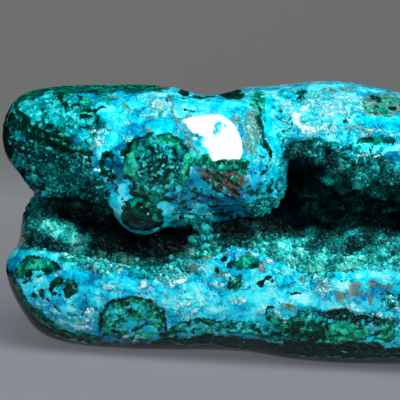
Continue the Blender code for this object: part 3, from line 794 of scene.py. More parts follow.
@dataclass(frozen=True)
class Markings:
    """Where each mineral lies in the stone, on the face and all round it.

    Borders wander by some cells over a length in millimetres. An extent is given from least to most, in
    millimetres inside. The face ends where the surface turns from the eye, behind a depth and past the grid.
    """

    bedding: Bedding
    view: Viewpoint
    wander: float = 2.4
    wander_length: float = 2.6
    wander_shifts: tuple[float, float] = (0.0, 57.0)
    wander_round: float = 0.8
    overlap: float = 0.35
    overlap_share: float = 0.5
    least: float = -2.0
    most: float = 3.0
    turned_away: tuple[float, float] = (-0.30, -0.12)
    face_depth: tuple[float, float] = (34.0, 27.0)
    past_grid: tuple[float, float] = (14.0, 2.0)
    nests: tuple[tuple[Mineral, int, float, float], ...] = (
        (M.DEEP, 46, 2.5, 6.5),
        (M.TEAL, 60, 2.0, 6.0),
        (M.CYAN, 40, 1.5, 4.0),
        (M.MILKY, 36, 1.5, 4.5),
        (M.MALACHITE, 70, 2.0, 6.5),
        (M.FRESH, 60, 1.0, 3.0),
        (M.BEIGE, 34, 0.8, 2.6),
        (M.BROWN, 16, 1.2, 3.2),
        (M.ASH, 22, 1.0, 3.4),
        (M.DARK, 120, 0.7, 3.2),
        (M.CREAM, 60, 0.6, 2.0),
        (M.SATIN, 30, 3.0, 8.0),
        (M.ROUGH, 16, 3.0, 8.0),
        (M.TURQUOISE, 60, 0.5, 1.6),
    )
    underside: Nest = Nest(M.DARK, (50.0, 20.0, 3.0), (60.0, 26.0, 5.0))
    nest_room: tuple[tuple[float, float], ...] = ((-2.0, 98.0), (0.0, 42.0), (4.0, 54.0))
    nest_stretch: tuple[tuple[float, float], ...] = ((0.8, 2.8), (0.8, 1.8))
    first_seed: int = 100

    def drawn(self) -> list[Marking]:
        """The markings of the face, from the lowest to the uppermost."""
        groups = (LOBE, COLUMN, KNOB, BULB, BROW, RIM, SLAB_LEFT, OVAL, SLAB_MIDDLE, SLAB_RIGHT, FOOT)
        return [mark for group in groups for mark in group]

    def grown(self, mineral: Mineral) -> list[Nest]:
        """Scatters one mineral's balls through the stone, for its sides, back, top and underside.

        Args:
            mineral: The mineral.

        Returns:
            The balls, the same ones each run.
        """
        made = [self.underside] if mineral is self.underside.mineral else []
        for row, (kind, count, small, large) in enumerate(self.nests):
            if kind is not mineral:
                continue
            draw = np.random.default_rng(self.first_seed + row)
            for _ in range(count):
                middle = tuple(draw.uniform(*room) for room in self.nest_room)
                half = draw.uniform(small, large)
                sizes = tuple(half * draw.uniform(*stretch) for stretch in self.nest_stretch)
                made.append(Nest(mineral, middle, (*sizes, half)))
        return made

    def on_face(self, surface: Surface, places: np.ndarray) -> np.ndarray:
        """How far each vertex belongs to the face that the drawing grid covers.

        Args:
            surface: The stone's surface.
            places: Its vertices in the bedding frame, one a row.

        Returns:
            A share from 0 to 1 for each vertex.
        """
        facing = np.sum(self.bedding.turned(surface.normals) * self.view.sight(places), axis=1)
        near = eased(places[:, 1], *self.face_depth)
        within = eased(self.view.grid(places)[:, 0], *(self.view.cells + past for past in self.past_grid))
        return eased(facing, *self.turned_away) * near * within

    def wandered(self, places: np.ndarray, amount: float) -> np.ndarray:
        """How far each place's marking is shifted, so that no border is a plain curve, as two columns."""
        shifted = [each(places + shift, self.wander_length, broken) for shift in self.wander_shifts]
        return amount * np.stack(shifted, axis=1)

    def painted(self, cells: np.ndarray) -> dict[Mineral, np.ndarray]:
        """Lays the face's markings in their order, each one over what lay there before.

        Args:
            cells: Places on the drawing grid.

        Returns:
            For each mineral the depth inside its nearest border in millimetres, negative outside it.
        """
        order = list(Mineral)
        found = {mineral: np.full(len(cells), self.least) for mineral in order}
        for mark in self.drawn():
            inside = mark.inside(cells) * self.view.cell
            near = np.flatnonzero(inside > self.least)
            depth = inside[near]
            own = found[mark.mineral]
            own[near] = np.maximum(own[near], depth)
            if mark.mineral in STATES:
                continue
            lap = min(self.overlap, self.overlap_share * max(0.0, inside.max()))
            for other in order[order.index(mark.mineral) + 1 : -len(STATES)]:
                found[other][near] = np.minimum(found[other][near], lap - depth)
        return found

    def lay(self, surface: Surface, kinds: Sequence[Mineral]) -> dict[Mineral, np.ndarray]:
        """Works out how far inside each mineral the vertices of a surface are.

        Args:
            surface: The surface.
            kinds: The minerals asked for.

        Returns:
            For each mineral the depth inside its nearest border in millimetres, negative outside it.
        """
        places = self.bedding.from_world(surface.points)
        shift = self.wandered(places, self.wander)
        face = self.on_face(surface, places)
        seen = np.flatnonzero(face > 0.0)
        drawn = self.painted(self.view.grid(places[seen]) + shift[seen])
        drift = np.stack([shift[:, 0], shift[:, 1], shift[:, 0] - shift[:, 1]], axis=1)
        moved = places + drift * self.wander_round
        found: dict[Mineral, np.ndarray] = {}
        for mineral in kinds:
            grown = np.full(len(places), self.least)
            for nest in self.grown(mineral):
                grown = np.maximum(grown, nest.inside(moved))
            depth = (1 - face) * grown
            depth[seen] += face[seen] * drawn[mineral]
            found[mineral] = np.clip(depth, self.least, self.most)
        return found


# ---- Finishes ----

Colour = tuple[float, float, float, float]
Stop = tuple[float, Colour]


def ink(red: int, green: int, blue: int) -> Colour:
    """A colour as the shader wants it.

    Args:
        red: Its red, from 0 to 255.
        green: Its green, from 0 to 255.
        blue: Its blue, from 0 to 255.

    Returns:
        The linear red, green and blue, and 1 for solid.
    """
    return tuple(
        ((c / 255 + 0.055) / 1.055) ** 2.4 if c > 10 else c / 255 / 12.92 for c in (red, green, blue)
    ) + (1.0,)


class Value:
    """What runs through a material's nodes. Numbers are added, multiplied and so on as plain ones are."""

    def __init__(self, wiring: Wiring, socket: bpy.types.NodeSocket) -> None:
        """Takes a node's output."""
        self.wiring = wiring
        self.socket = socket

    def __add__(self, other: object) -> Value:
        """The sum."""
        return self.wiring.number("ADD", self, other)

    def __sub__(self, other: object) -> Value:
        """The difference."""
        return self.wiring.number("SUBTRACT", self, other)

    def __rsub__(self, other: object) -> Value:
        """The difference, where this is what is taken away."""
        return self.wiring.number("SUBTRACT", other, self)

    def __mul__(self, other: object) -> Value:
        """The product."""
        return self.wiring.number("MULTIPLY", self, other)

    def __abs__(self) -> Value:
        """The size, whatever the sign."""
        return self.wiring.number("ABSOLUTE", self)

    def at_least(self, other: object) -> Value:
        """The larger of the two."""
        return self.wiring.number("MAXIMUM", self, other)


class Wiring:
    """The nodes of one material, with a short call for each kind that the finishes use.

    Spacings and depths are in millimetres. A mosaic's joint is how far it reaches from a fragment's edge.
    """

    falloff: float = 0.6
    joint: tuple[float, float, float, float] = (0.02, 0.16, 1.0, 0.0)

    def __init__(self, name: str) -> None:
        """Starts a material with a Principled shader and the object's place in millimetres.

        Args:
            name: The material's name.
        """
        self.material = bpy.data.materials.new(name)
        self.material.use_nodes = True
        self.tree = self.material.node_tree
        self.shader = next(n for n in self.tree.nodes if n.type == "BSDF_PRINCIPLED")
        self.place = self.vector("MULTIPLY", self.node("TexCoord").outputs["Object"], (1 / MM,) * 3)

    def node(self, kind: str, **settings: object) -> bpy.types.Node:
        """Adds a node.

        Args:
            kind: Its type, without the leading ShaderNode.
            **settings: Its properties.

        Returns:
            The new node.
        """
        made = self.tree.nodes.new("ShaderNode" + kind)
        for name, setting in settings.items():
            setattr(made, name, setting)
        return made

    def put(self, socket: bpy.types.NodeSocket, value: object) -> None:
        """Links a socket to another one, or sets its value.

        Args:
            socket: The input socket.
            value: A value of the wiring, or what the socket is set to.
        """
        source = value.socket if isinstance(value, Value) else value
        if isinstance(source, bpy.types.NodeSocket):
            self.tree.links.new(source, socket)
        else:
            socket.default_value = source

    def dress(self, **inputs: object) -> None:
        """Gives the shader's inputs their values, with the inputs' names written with underscores."""
        for name, value in inputs.items():
            self.put(self.shader.inputs[name.replace("_", " ")], value)

    def vector(self, operation: str, first: object, second: object) -> Value:
        """A step between two vectors.

        Args:
            operation: The step, as the vector node names it.
            first: The first vector.
            second: The second one.

        Returns:
            The outcome.
        """
        node = self.node("VectorMath", operation=operation)
        self.put(node.inputs[0], first)
        self.put(node.inputs[1], second)
        return Value(self, node.outputs[0])

    def number(self, operation: str, first: object, second: object = 0.0) -> Value:
        """A sum, product or other step between two numbers.

        Args:
            operation: The step, as the math node names it.
            first: The first number.
            second: The second one.

        Returns:
            The outcome.
        """
        node = self.node("Math", operation=operation)
        self.put(node.inputs[0], first)
        self.put(node.inputs[1], second)
        return Value(self, node.outputs[0])

    def noise(self, spacing: float, detail: float = 2.0, at: Value | None = None, out: str = "Fac") -> Value:
        """A cloudy pattern.

        Args:
            spacing: How far apart its lumps are, in millimetres.
            detail: How many finer layers it has.
            at: Where it is read, or None for the object's place.
            out: The output that is wanted.

        Returns:
            The pattern.
        """
        node = self.node("TexNoise")
        for name, number in (("Scale", 1 / spacing), ("Detail", detail), ("Roughness", self.falloff)):
            node.inputs[name].default_value = number
        self.put(node.inputs["Vector"], at or self.place)
        return Value(self, node.outputs[out])

    def stirred(self, spacing: float, amount: float, detail: float) -> Value:
        """The object's place, moved about by up to half the amount."""
        cloud = self.vector("SUBTRACT", self.noise(spacing, detail, out="Color"), (HALFWAY,) * 3)
        return self.vector("ADD", self.place, self.vector("MULTIPLY", cloud, (amount,) * 3))

    def cells(
        self, spacing: float, feature: str = "F1", at: Value | None = None, out: str = "Distance"
    ) -> Value:
        """A pattern of grains.

        Args:
            spacing: How far apart they are, in millimetres.
            feature: What is measured in each grain.
            at: Where it is read, or None for the object's place.
            out: The output that is wanted.

        Returns:
            The pattern.
        """
        node = self.node("TexVoronoi", feature=feature)
        node.inputs["Scale"].default_value = 1 / spacing
        self.put(node.inputs["Vector"], at or self.place)
        return Value(self, node.outputs[out])

    def mosaic(self, spacing: float, at: Value) -> tuple[Value, Value]:
        """Angular fragments with dark joints between.

        Args:
            spacing: How far apart they are, in millimetres.
            at: Where the pattern is read.

        Returns:
            A value of its own for each fragment, and the share of the joints.
        """
        split = self.node("SeparateColor")
        self.put(split.inputs[0], self.cells(spacing, "F1", at, "Color"))
        joints = self.rise(self.cells(spacing, "DISTANCE_TO_EDGE", at), *self.joint)
        return Value(self, split.outputs[0]), joints

    def amount(self, name: str) -> Value:
        """A value that the piece's vertices hold."""
        return Value(self, self.node("Attribute", attribute_name=name).outputs["Fac"])

    def rise(self, value: Value, start: float, end: float, low: float = 0.0, high: float = 1.0) -> Value:
        """A smooth rise of one value with another.

        Args:
            value: The value that it follows.
            start: Where the rise starts.
            end: Where it ends.
            low: What it starts from.
            high: What it reaches.

        Returns:
            The rise.
        """
        node = self.node("MapRange", interpolation_type="SMOOTHSTEP")
        self.put(node.inputs["Value"], value)
        for name, number in (("From Min", start), ("From Max", end), ("To Min", low), ("To Max", high)):
            node.inputs[name].default_value = number
        return Value(self, node.outputs["Result"])

    def blend(self, share: object, first: object, second: object, how: str = "MIX") -> Value:
        """Two colours blended.

        Args:
            share: The share of the second one, from 0 to 1.
            first: The first colour.
            second: The second colour.
            how: The kind of blend.

        Returns:
            The blended colour.
        """
        node = self.node("Mix", data_type="RGBA", blend_type=how)
        for name, value in (("Factor", share), (6, first), (7, second)):
            self.put(node.inputs[name], value)
        return Value(self, node.outputs[2])

    def ramp(self, value: Value, *stops: Stop) -> Value:
        """A run of colours.

        Args:
            value: The value that it follows.
            *stops: The colours, each with its value.

        Returns:
            The colour.
        """
        node = self.node("ValToRGB")
        points = node.color_ramp.elements
        while len(points) < len(stops):
            points.new(HALFWAY)
        for point, (at, colour) in zip(points, stops):
            point.position, point.color = at, colour
        self.put(node.inputs["Fac"], value)
        return Value(self, node.outputs["Color"])

    def bump(self, height: Value, strength: float, depth: float) -> None:
        """Gives the shader small relief.

        Args:
            height: The relief, from 0 to 1.
            strength: How much of it shows.
            depth: Its depth in millimetres.
        """
        node = self.node("Bump")
        node.inputs["Strength"].default_value = strength
        node.inputs["Distance"].default_value = depth * MM
        self.put(node.inputs["Height"], height)
        self.dress(Normal=node.outputs["Normal"])


@dataclass(frozen=True)
class Layer:
    """How one mineral looks: its colours from creases to crests, its border and its roughness."""

    mineral: Mineral
    low: Colour
    middle: Colour
    high: Colour
    ragged: float
    soft: float
    roughness: float
    granular: float = 0.0
    fragments: float = 0.0
    cloudy: bool = False

    def joint(self) -> Colour:
        """The colour between the mineral's fragments, a darker one than its creases."""
        darker = 0.25
        return tuple(darker * part for part in self.low[:3]) + (1.0,)


LAYERS: tuple[Layer, ...] = (
    Layer(M.TEAL, ink(0, 54, 62), ink(0, 140, 144), ink(50, 222, 216), 1.1, 0.20, 0.5, 0.3, 0.55),
    Layer(M.DEEP, ink(0, 62, 92), ink(0, 104, 138), ink(0, 150, 182), 0.9, 0.30, 0.3, cloudy=True),
    Layer(M.CYAN, ink(0, 184, 218), ink(0, 218, 240), ink(90, 244, 250), 0.9, 0.30, 0.3, cloudy=True),
    Layer(M.MILKY, ink(0, 190, 224), ink(72, 224, 240), ink(160, 244, 250), 1.3, 0.20, 0.3, cloudy=True),
    Layer(M.BEIGE, ink(36, 110, 108), ink(86, 146, 140), ink(136, 184, 174), 0.9, 0.20, 0.45, 0.4),
    Layer(M.ASH, ink(56, 112, 116), ink(94, 132, 132), ink(130, 154, 152), 0.9, 0.15, 0.4, 0.1, cloudy=True),
    Layer(M.BROWN, ink(42, 42, 38), ink(88, 76, 66), ink(132, 112, 98), 0.8, 0.18, 0.4, 0.3),
    Layer(M.MALACHITE, ink(0, 40, 36), ink(0, 104, 86), ink(0, 176, 146), 0.9, 0.12, 0.35, 0.3, 0.4),
    Layer(M.FRESH, ink(0, 104, 82), ink(0, 164, 128), ink(48, 216, 176), 0.9, 0.16, 0.35, 0.2, 0.35),
    Layer(M.DARK, ink(0, 14, 12), ink(0, 36, 31), ink(0, 88, 68), 0.7, 0.10, 0.3, 0.2),
    Layer(M.TURQUOISE, ink(0, 136, 150), ink(0, 194, 206), ink(70, 238, 236), 0.55, 0.10, 0.4, 0.1, 0.35),
    Layer(M.CREAM, ink(20, 200, 220), ink(130, 242, 248), ink(222, 255, 254), 1.2, 0.15, 0.5, 0.2, 0.35),
)


@dataclass(frozen=True)
class StoneFinish:
    """Chrysocolla with its minerals: blue glass where nothing else lies, grains and crackle elsewhere.

    A cloudy pattern is a spacing in millimetres and a detail, and one of lines a width as well: the web is of
    pale lines and the hair of dark ones. The fields that end in mix are the shares of what is added up, those
    that end in patches are where a pattern starts to show and where it is full, and so are the borders, in
    millimetres inside a mineral.
    """

    name: str = "polished stone"
    glass: float = 0.30
    glass_change: float = 0.10
    satin: float = 0.55
    broken_roughness: float = 0.75
    gloss: float = 0.0
    coat_index: float = 1.34
    coat_roughness: float = 0.07
    swirl: tuple[float, float, float] = (3.4, 2.6, 2.0)
    crumple: tuple[float, float, float] = (0.7, 1.5, 3.0)
    wide: tuple[float, float] = (8.5, 3.0)
    cloud: tuple[float, float] = (2.7, 4.0)
    fine: tuple[float, float] = (0.95, 3.0)
    speck: tuple[float, float] = (0.34, 2.0)
    ragged: tuple[float, float] = (1.25, 3.0)
    flaking: tuple[float, float] = (6.0, 1.0)
    grain_spacing: float = 0.42
    crack_spacing: float = 0.85
    fragment_spacing: float = 0.82
    flake_spacing: float = 1.7
    tone_mix: tuple[float, float, float] = (0.76, 0.24, 0.55)
    mottle_mix: tuple[float, float] = (0.55, 0.45)
    ragged_mix: tuple[float, float] = (1.9, 0.8)
    granule: tuple[float, float, float, float] = (0.05, 0.75, 0.85, 0.15)
    granule_share: float = 0.45
    crack: tuple[float, float] = (0.0, 0.12)
    fragment_tone: tuple[float, float] = (0.50, 0.25)
    fragment_mix: tuple[float, float] = (0.4, 0.6)
    flake_patches: tuple[float, float] = (0.42, 0.58)
    blues: tuple[Stop, ...] = (
        (0.31, ink(0, 104, 150)), (0.41, ink(0, 154, 206)), (0.49, ink(0, 194, 232)),
        (0.58, ink(20, 224, 244)), (0.69, ink(124, 242, 248)),
    )
    web: tuple[float, float, float] = (3.0, 0.026, 2.0)
    web_patches: tuple[float, float] = (0.38, 0.54)
    web_strength: float = 0.60
    web_colour: Colour = ink(160, 246, 248)
    hair: tuple[float, float, float] = (1.9, 0.024, 3.0)
    hair_patches: tuple[float, float] = (0.62, 0.44)
    hair_strength: float = 0.80
    hair_colour: Colour = ink(0, 62, 88)
    seam: float = 0.55
    seam_colour: Colour = ink(0, 92, 124)
    shades: tuple[float, float, float] = (0.38, 0.50, 0.62)
    green_rim: tuple[float, float, float, float] = (0.0, 1.1, 0.55, 0.0)
    worn_border: tuple[float, float] = (-0.6, 0.8)
    broken_border: tuple[float, float] = (-0.3, 0.5)
    crackled_border: tuple[float, float] = (-0.5, 0.2)
    # The painted shade in the creases of the broken parts: where it starts and ends in the mottle, and its
    # colour.
    crease_shade: tuple[float, float, float, float] = (0.36, 0.54, 0.65, 0.0)
    crease_shade_colour: Colour = ink(0, 52, 56)
    broken_relief: float = 0.5
    worn_relief: float = 0.35
    crackled_relief: float = 0.6
    line_relief: float = 0.3
    fine_relief: float = 0.5
    flake_relief: float = 0.9
    relief: tuple[float, float] = (0.9, 0.30)

    def lines(self, w: Wiring, spacing: float, width: float, detail: float, at: Value | None = None) -> Value:
        """Thin winding lines: 1 on them and 0 away from them."""
        return w.rise(abs(w.noise(spacing, detail, at) - HALFWAY), 0.0, width, 1.0, 0.0)

    def make(self) -> bpy.types.Material:
        """Builds the material, which reads the extents of the minerals from the piece.

        Returns:
            The material.
        """
        w = Wiring(self.name)
        at, crumpled = w.stirred(*self.swirl), w.stirred(*self.crumple)
        wide, cloud = w.noise(*self.wide, at), w.noise(*self.cloud, at)
        fine, speck = w.noise(*self.fine), w.noise(*self.speck)
        tone = cloud * self.tone_mix[0] + fine * self.tone_mix[1] + (wide - HALFWAY) * self.tone_mix[2]
        mottle = fine * self.mottle_mix[0] + speck * self.mottle_mix[1]
        granule = w.rise(w.cells(self.grain_spacing), *self.granule)
        cracks = w.rise(w.cells(self.crack_spacing, "DISTANCE_TO_EDGE", at), *self.crack)
        ragged = (w.noise(*self.ragged) - HALFWAY) * self.ragged_mix[0]
        ragged = ragged + (speck - HALFWAY) * self.ragged_mix[1]
        web = self.lines(w, *self.web, at) * w.rise(wide, *self.web_patches)
        hair = self.lines(w, *self.hair) * w.rise(cloud, *self.hair_patches)
        fragment, joints = w.mosaic(self.fragment_spacing, crumpled)
        fragment = fragment * self.fragment_tone[0] + self.fragment_tone[1]
        flake, seams = w.mosaic(self.flake_spacing, crumpled)
        flaked = w.rise(w.noise(*self.flaking), *self.flake_patches)
        colour = w.blend(web * self.web_strength, w.ramp(tone, *self.blues), self.web_colour)
        colour = w.blend(hair * self.hair_strength, colour, self.hair_colour)
        colour = w.blend(seams * flaked * self.seam, colour, self.seam_colour)
        rough = (fine - HALFWAY) * self.glass_change + self.glass
        for layer in LAYERS:
            deep = w.amount(layer.mineral.value)
            share = w.rise(deep + ragged * layer.ragged, -layer.soft, layer.soft)
            grainy = self.granule_share * layer.granular
            shade = tone if layer.cloudy else mottle * (1.0 - grainy) + granule * grainy
            if layer.fragments:
                shade = shade * self.fragment_mix[0] + fragment * self.fragment_mix[1]
            body = w.ramp(shade, *zip(self.shades, (layer.low, layer.middle, layer.high)))
            if layer.fragments:
                body = w.blend(joints * layer.fragments, body, layer.joint())
            if layer.mineral is M.MALACHITE:
                body = w.blend(w.rise(deep, *self.green_rim), body, layer.low)
            colour = w.blend(share, colour, body)
            rough = rough + share * (layer.roughness - rough)
        worn = w.rise(w.amount(M.SATIN.value) + ragged, *self.worn_border)
        broken_up = w.rise(w.amount(M.ROUGH.value) + ragged, *self.broken_border)
        crackled = w.rise(w.amount(M.CREAM.value) + ragged, *self.crackled_border)
        # Painted shade: the broken parts darken where their relief is low, in its creases.
        colour = w.blend(broken_up * w.rise(mottle, *self.crease_shade), colour, self.crease_shade_colour)
        rough = rough.at_least(worn * self.satin)
        rough = rough + broken_up * (self.broken_roughness - rough)
        cracked = worn * self.worn_relief + crackled * self.crackled_relief
        relief = (mottle + granule * self.broken_relief) * broken_up + (mottle + cracks) * cracked
        relief = relief + ((web - hair) * self.line_relief + fine * self.fine_relief)
        relief = relief + flake * flaked * self.flake_relief
        w.dress(Base_Color=colour, Roughness=rough, Coat_Weight=1.0 - worn.at_least(broken_up))
        w.dress(Coat_IOR=self.coat_index, Coat_Roughness=self.coat_roughness, Specular_IOR_Level=self.gloss)
        w.bump(relief, *self.relief)
        return w.material


@dataclass(frozen=True)
class CrustFinish:
    """Druse bed: green-blue grains where the light reaches, with painted shade that darkens it deep in the
    hollow.

    A cloudy pattern is a spacing in millimetres and a detail. The mix is of cloud, fine and clump.
    """

    name: str = "druse bed"
    index: float = 1.54
    gloss: float = 0.05
    cloud: tuple[float, float] = (2.2, 3.0)
    fine: tuple[float, float] = (0.6, 3.0)
    grain_spacing: float = 0.55
    mix: tuple[float, float, float] = (0.4, 0.4, 0.6)
    grain_tone: tuple[float, float, float, float] = (0.1, 0.6, 0.2, 0.0)
    grain_relief: tuple[float, float, float, float] = (0.1, 0.6, 0.6, 0.0)
    greens: tuple[Stop, ...] = (
        (0.32, ink(0, 30, 32)), (0.46, ink(0, 92, 92)), (0.60, ink(10, 158, 150)), (0.76, ink(120, 224, 206)),
    )
    painted_shade: Colour = ink(0, 6, 9)
    roughness: tuple[float, float, float, float] = (0.3, 0.7, 0.30, 0.55)
    relief: tuple[float, float] = (0.8, 0.25)

    def make(self) -> bpy.types.Material:
        """Builds the material, which reads how deep in the hollow the piece's vertices are.

        Returns:
            The material.
        """
        w = Wiring(self.name)
        cloud, fine = w.noise(*self.cloud), w.noise(*self.fine)
        grains = w.cells(self.grain_spacing)
        shade = cloud * self.mix[0] + fine * self.mix[1] + w.rise(grains, *self.grain_tone)
        shade = shade + w.amount("tone") * self.mix[2]
        # Painted shade: the colour goes towards the shade colour as the depth attribute rises.
        colour = w.blend(w.amount("depth"), w.ramp(shade, *self.greens), self.painted_shade)
        w.dress(Base_Color=colour, Roughness=w.rise(fine, *self.roughness))
        w.dress(IOR=self.index, Specular_IOR_Level=self.gloss)
        w.bump(fine + w.rise(grains, *self.grain_relief), *self.relief)
        return w.material


@dataclass(frozen=True)
class CrystalFinish:
    """Small bright crystals, each of its own tone."""

    name: str = "druse crystals"
    roughness: tuple[float, float, float, float] = (0.3, 0.7, 0.26, 0.40)
    gloss: float = 0.22
    index: float = 1.55
    tone_change: float = 0.7
    tone_spacing: float = 0.32
    rough_spacing: float = 0.8
    relief_spacing: float = 0.30
    greens: tuple[Stop, ...] = (
        (0.0, ink(0, 34, 38)), (0.25, ink(0, 88, 88)), (0.5, ink(0, 158, 158)),
        (0.75, ink(20, 218, 210)), (0.92, ink(110, 238, 228)), (1.0, ink(200, 242, 232)),
    )
    painted_shade: Colour = ink(0, 9, 12)
    relief: tuple[float, float] = (0.9, 0.22)

    def make(self) -> bpy.types.Material:
        """Builds the material, which reads each crystal's tone and depth from the piece.

        Returns:
            The material.
        """
        w = Wiring(self.name)
        tone = w.amount("tone") + (w.noise(self.tone_spacing) - HALFWAY) * self.tone_change
        # Painted shade: crystals deep in the hollow take the shade colour by their depth attribute.
        colour = w.blend(w.amount("depth"), w.ramp(tone, *self.greens), self.painted_shade)
        w.dress(Base_Color=colour, Roughness=w.rise(w.noise(self.rough_spacing), *self.roughness))
        w.dress(IOR=self.index, Specular_IOR_Level=self.gloss)
        w.bump(w.noise(self.relief_spacing), *self.relief)
        return w.material


@dataclass(frozen=True)
class PaperFinish:
    """Plain matt studio paper whose colour changes a little from its near end to its far one, a painted
    fall-off of the studio light.
    """

    name: str = "studio paper"
    roughness: float = 0.9
    reach: float = 420.0
    grain: tuple[float, float] = (1.5, 3.0)
    tooth: tuple[float, float, float, float] = (0.2, 0.8, 0.97, 1.0)
    falloff_greys: tuple[Stop, ...] = ((0.05, ink(92, 94, 99)), (0.45, ink(104, 107, 109)), (1.0, ink(91, 92, 90)))

    def make(self) -> bpy.types.Material:
        """Builds the material: the paper's colour with a faint tooth.

        Returns:
            The material.
        """
        w = Wiring(self.name)
        tooth = w.rise(w.noise(*self.grain), *self.tooth)
        split = w.node("SeparateXYZ")
        w.put(split.inputs[0], w.place)
        # Painted fall-off of the light, by distance behind the stone.
        colour = w.ramp(w.rise(Value(w, split.outputs[1]), 0.0, self.reach), *self.falloff_greys)
        w.dress(Base_Color=w.blend(1.0, colour, tooth, "MULTIPLY"))
        w.dress(Roughness=self.roughness, Specular_IOR_Level=0.0)
        return w.material


# ---- Pieces ----


def polish(thing: bpy.types.Object, smooth: np.ndarray, rounds: int) -> None:
    """Smooths part of a surface, as a polishing wheel does.

    Args:
        thing: The piece.
        smooth: For each vertex, whether it is polished.
        rounds: How often it is smoothed.
    """
    work = bmesh.new()
    work.from_mesh(thing.data)
    chosen = [v for v in work.verts if smooth[v.index]]
    for _ in range(rounds):
        bmesh.ops.smooth_vert(
            work, verts=chosen, factor=HALFWAY, use_axis_x=True, use_axis_y=True, use_axis_z=True
        )
    work.to_mesh(thing.data)
    work.free()


@dataclass
class Stone:
    """The polished stone, rebuilt finely from its node and marked with its minerals.

    Each relief is a spacing and a height in millimetres. Each border is where a relief begins and where it is
    full, in millimetres inside its mineral.
    """

    markings: Markings
    voxel: float = 0.6
    first_rounds: int = 6
    polish_rounds: int = 22
    polished_below: float = 0.3
    refined: float = 0.5
    large_lumps: tuple[float, float] = (1.5, 0.85)
    small_lumps: tuple[float, float] = (0.62, 0.40)
    lump_middle: float = 0.55
    hand_polish: tuple[float, float] = (6.5, 0.10)
    pit: float = 0.14
    scales: tuple[float, float] = (0.85, 0.30)
    scale_middle: float = 0.3
    worn_relief: tuple[float, float] = (1.5, 0.16)
    rough_border: tuple[float, float] = (-0.5, 0.6)
    dark_border: tuple[float, float] = (-0.1, 0.3)
    cream_border: tuple[float, float] = (-0.3, 0.3)
    worn_border: tuple[float, float] = (-0.5, 0.8)
    eye_cleared: float = -1.0
    surface: Surface = field(init=False)

    def build(self, node: bpy.types.Object) -> bpy.types.Object:
        """Builds the stone's surface.

        Args:
            node: The stone's node.

        Returns:
            The finished piece.
        """
        thing = merged_copy(node, "stone_polished")
        rebuild(thing, self.voxel, self.first_rounds)
        self.surface = Surface(thing)
        rough = self.markings.lay(self.surface, [M.ROUGH])[M.ROUGH]
        polish(thing, rough < self.polished_below, self.polish_rounds)
        self.surface.read()
        places = self.markings.bedding.from_world(self.surface.points)
        refine(thing, self.markings.on_face(self.surface, places) > self.refined)
        self.surface.read()
        self.relieve()
        self.surface.move(in_box(self.surface.points))
        self.mark()
        thing.data.materials.append(StoneFinish().make())
        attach(thing, "root")
        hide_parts("stone")
        return thing

    def relieve(self) -> None:
        """Raises lumps on the broken parts, and presses the soft dark minerals in on the polished ones."""
        found = self.markings.lay(self.surface, [M.ROUGH, M.SATIN, M.DARK, M.CREAM])
        places = self.markings.bedding.from_world(self.surface.points)
        rough = eased(found[M.ROUGH], *self.rough_border)
        chosen = np.flatnonzero(rough > 0.0)
        lumps = np.zeros(len(places))
        for spacing, height in (self.large_lumps, self.small_lumps):
            lumps[chosen] += height * (each(places[chosen], spacing, lump) - self.lump_middle)
        wave = self.hand_polish[1] * each(places, self.hand_polish[0], slow)
        dents = self.pit * eased(found[M.DARK], *self.dark_border)
        flaky = np.flatnonzero(found[M.CREAM] > self.cream_border[0])
        scales = np.zeros(len(places))
        scales[flaky] = self.scales[1] * (each(places[flaky], self.scales[0], lump) - self.scale_middle)
        scales *= eased(found[M.CREAM], *self.cream_border)
        worn = np.flatnonzero(found[M.SATIN] > self.worn_border[0])
        bumps = np.zeros(len(places))
        bumps[worn] = self.worn_relief[1] * each(places[worn], self.worn_relief[0], broken)
        bumps *= eased(found[M.SATIN], *self.worn_border)
        self.surface.raise_by(rough * lumps + (1 - rough) * (wave + scales + bumps - dents))

    def mark(self) -> None:
        """Stores the extent of every mineral on the piece."""
        extents = self.markings.lay(self.surface, list(Mineral))
        cells = self.markings.view.grid(self.markings.bedding.from_world(self.surface.points))
        inside = EYE.inside(cells) * self.markings.view.cell
        extents[M.DARK] = np.where(inside > 0.0, self.eye_cleared, extents[M.DARK])
        inside = np.clip(inside, self.markings.least, self.markings.most)
        extents[M.DEEP] = np.maximum(extents[M.DEEP], inside)
        for mineral, values in extents.items():
            self.surface.keep(mineral.value, values)


# Where the druse is lit and takes less of the hollow's painted shade, each with how much less.
LIT_DRUSE: tuple[tuple[float, Spot], ...] = (
    (1.0, Spot(M.TEAL, 345, 250, 92, 26)),
    (1.0, Spot(M.TEAL, 46, 228, 32, 24)),
    (0.9, Spot(M.TEAL, 204, 238, 12, 11)),
    (0.84, Spot(M.TEAL, 352, 198, 62, 28)),
    (0.9, Spot(M.TEAL, 318, 152, 22, 13)),
    (0.9, Spot(M.TEAL, 368, 168, 28, 17)),
)

# Painted shadow: the darkest parts of the hollow, under the lobe and the knob, painted near black.
SHADOWED_DRUSE = spots(M.DARK, (152, 243, 46, 21), (108, 232, 20, 26), (82, 214, 36, 11, 8), (238, 230, 34, 9))

DRUSE_EDGE = [
    *veins(M.CYAN, 8.0, ((34, 214), (50, 230), (80, 244))),
    *veins(M.CYAN, 7.0, ((70, 252), (110, 256), (150, 256), (186, 250), (215, 246))),
    *veins(M.CYAN, 12.0, ((262, 244), (285, 254), (312, 264), (340, 264), (402, 258))),
]

CLUSTER = Spot(M.TEAL, 203, 237, 11, 9)


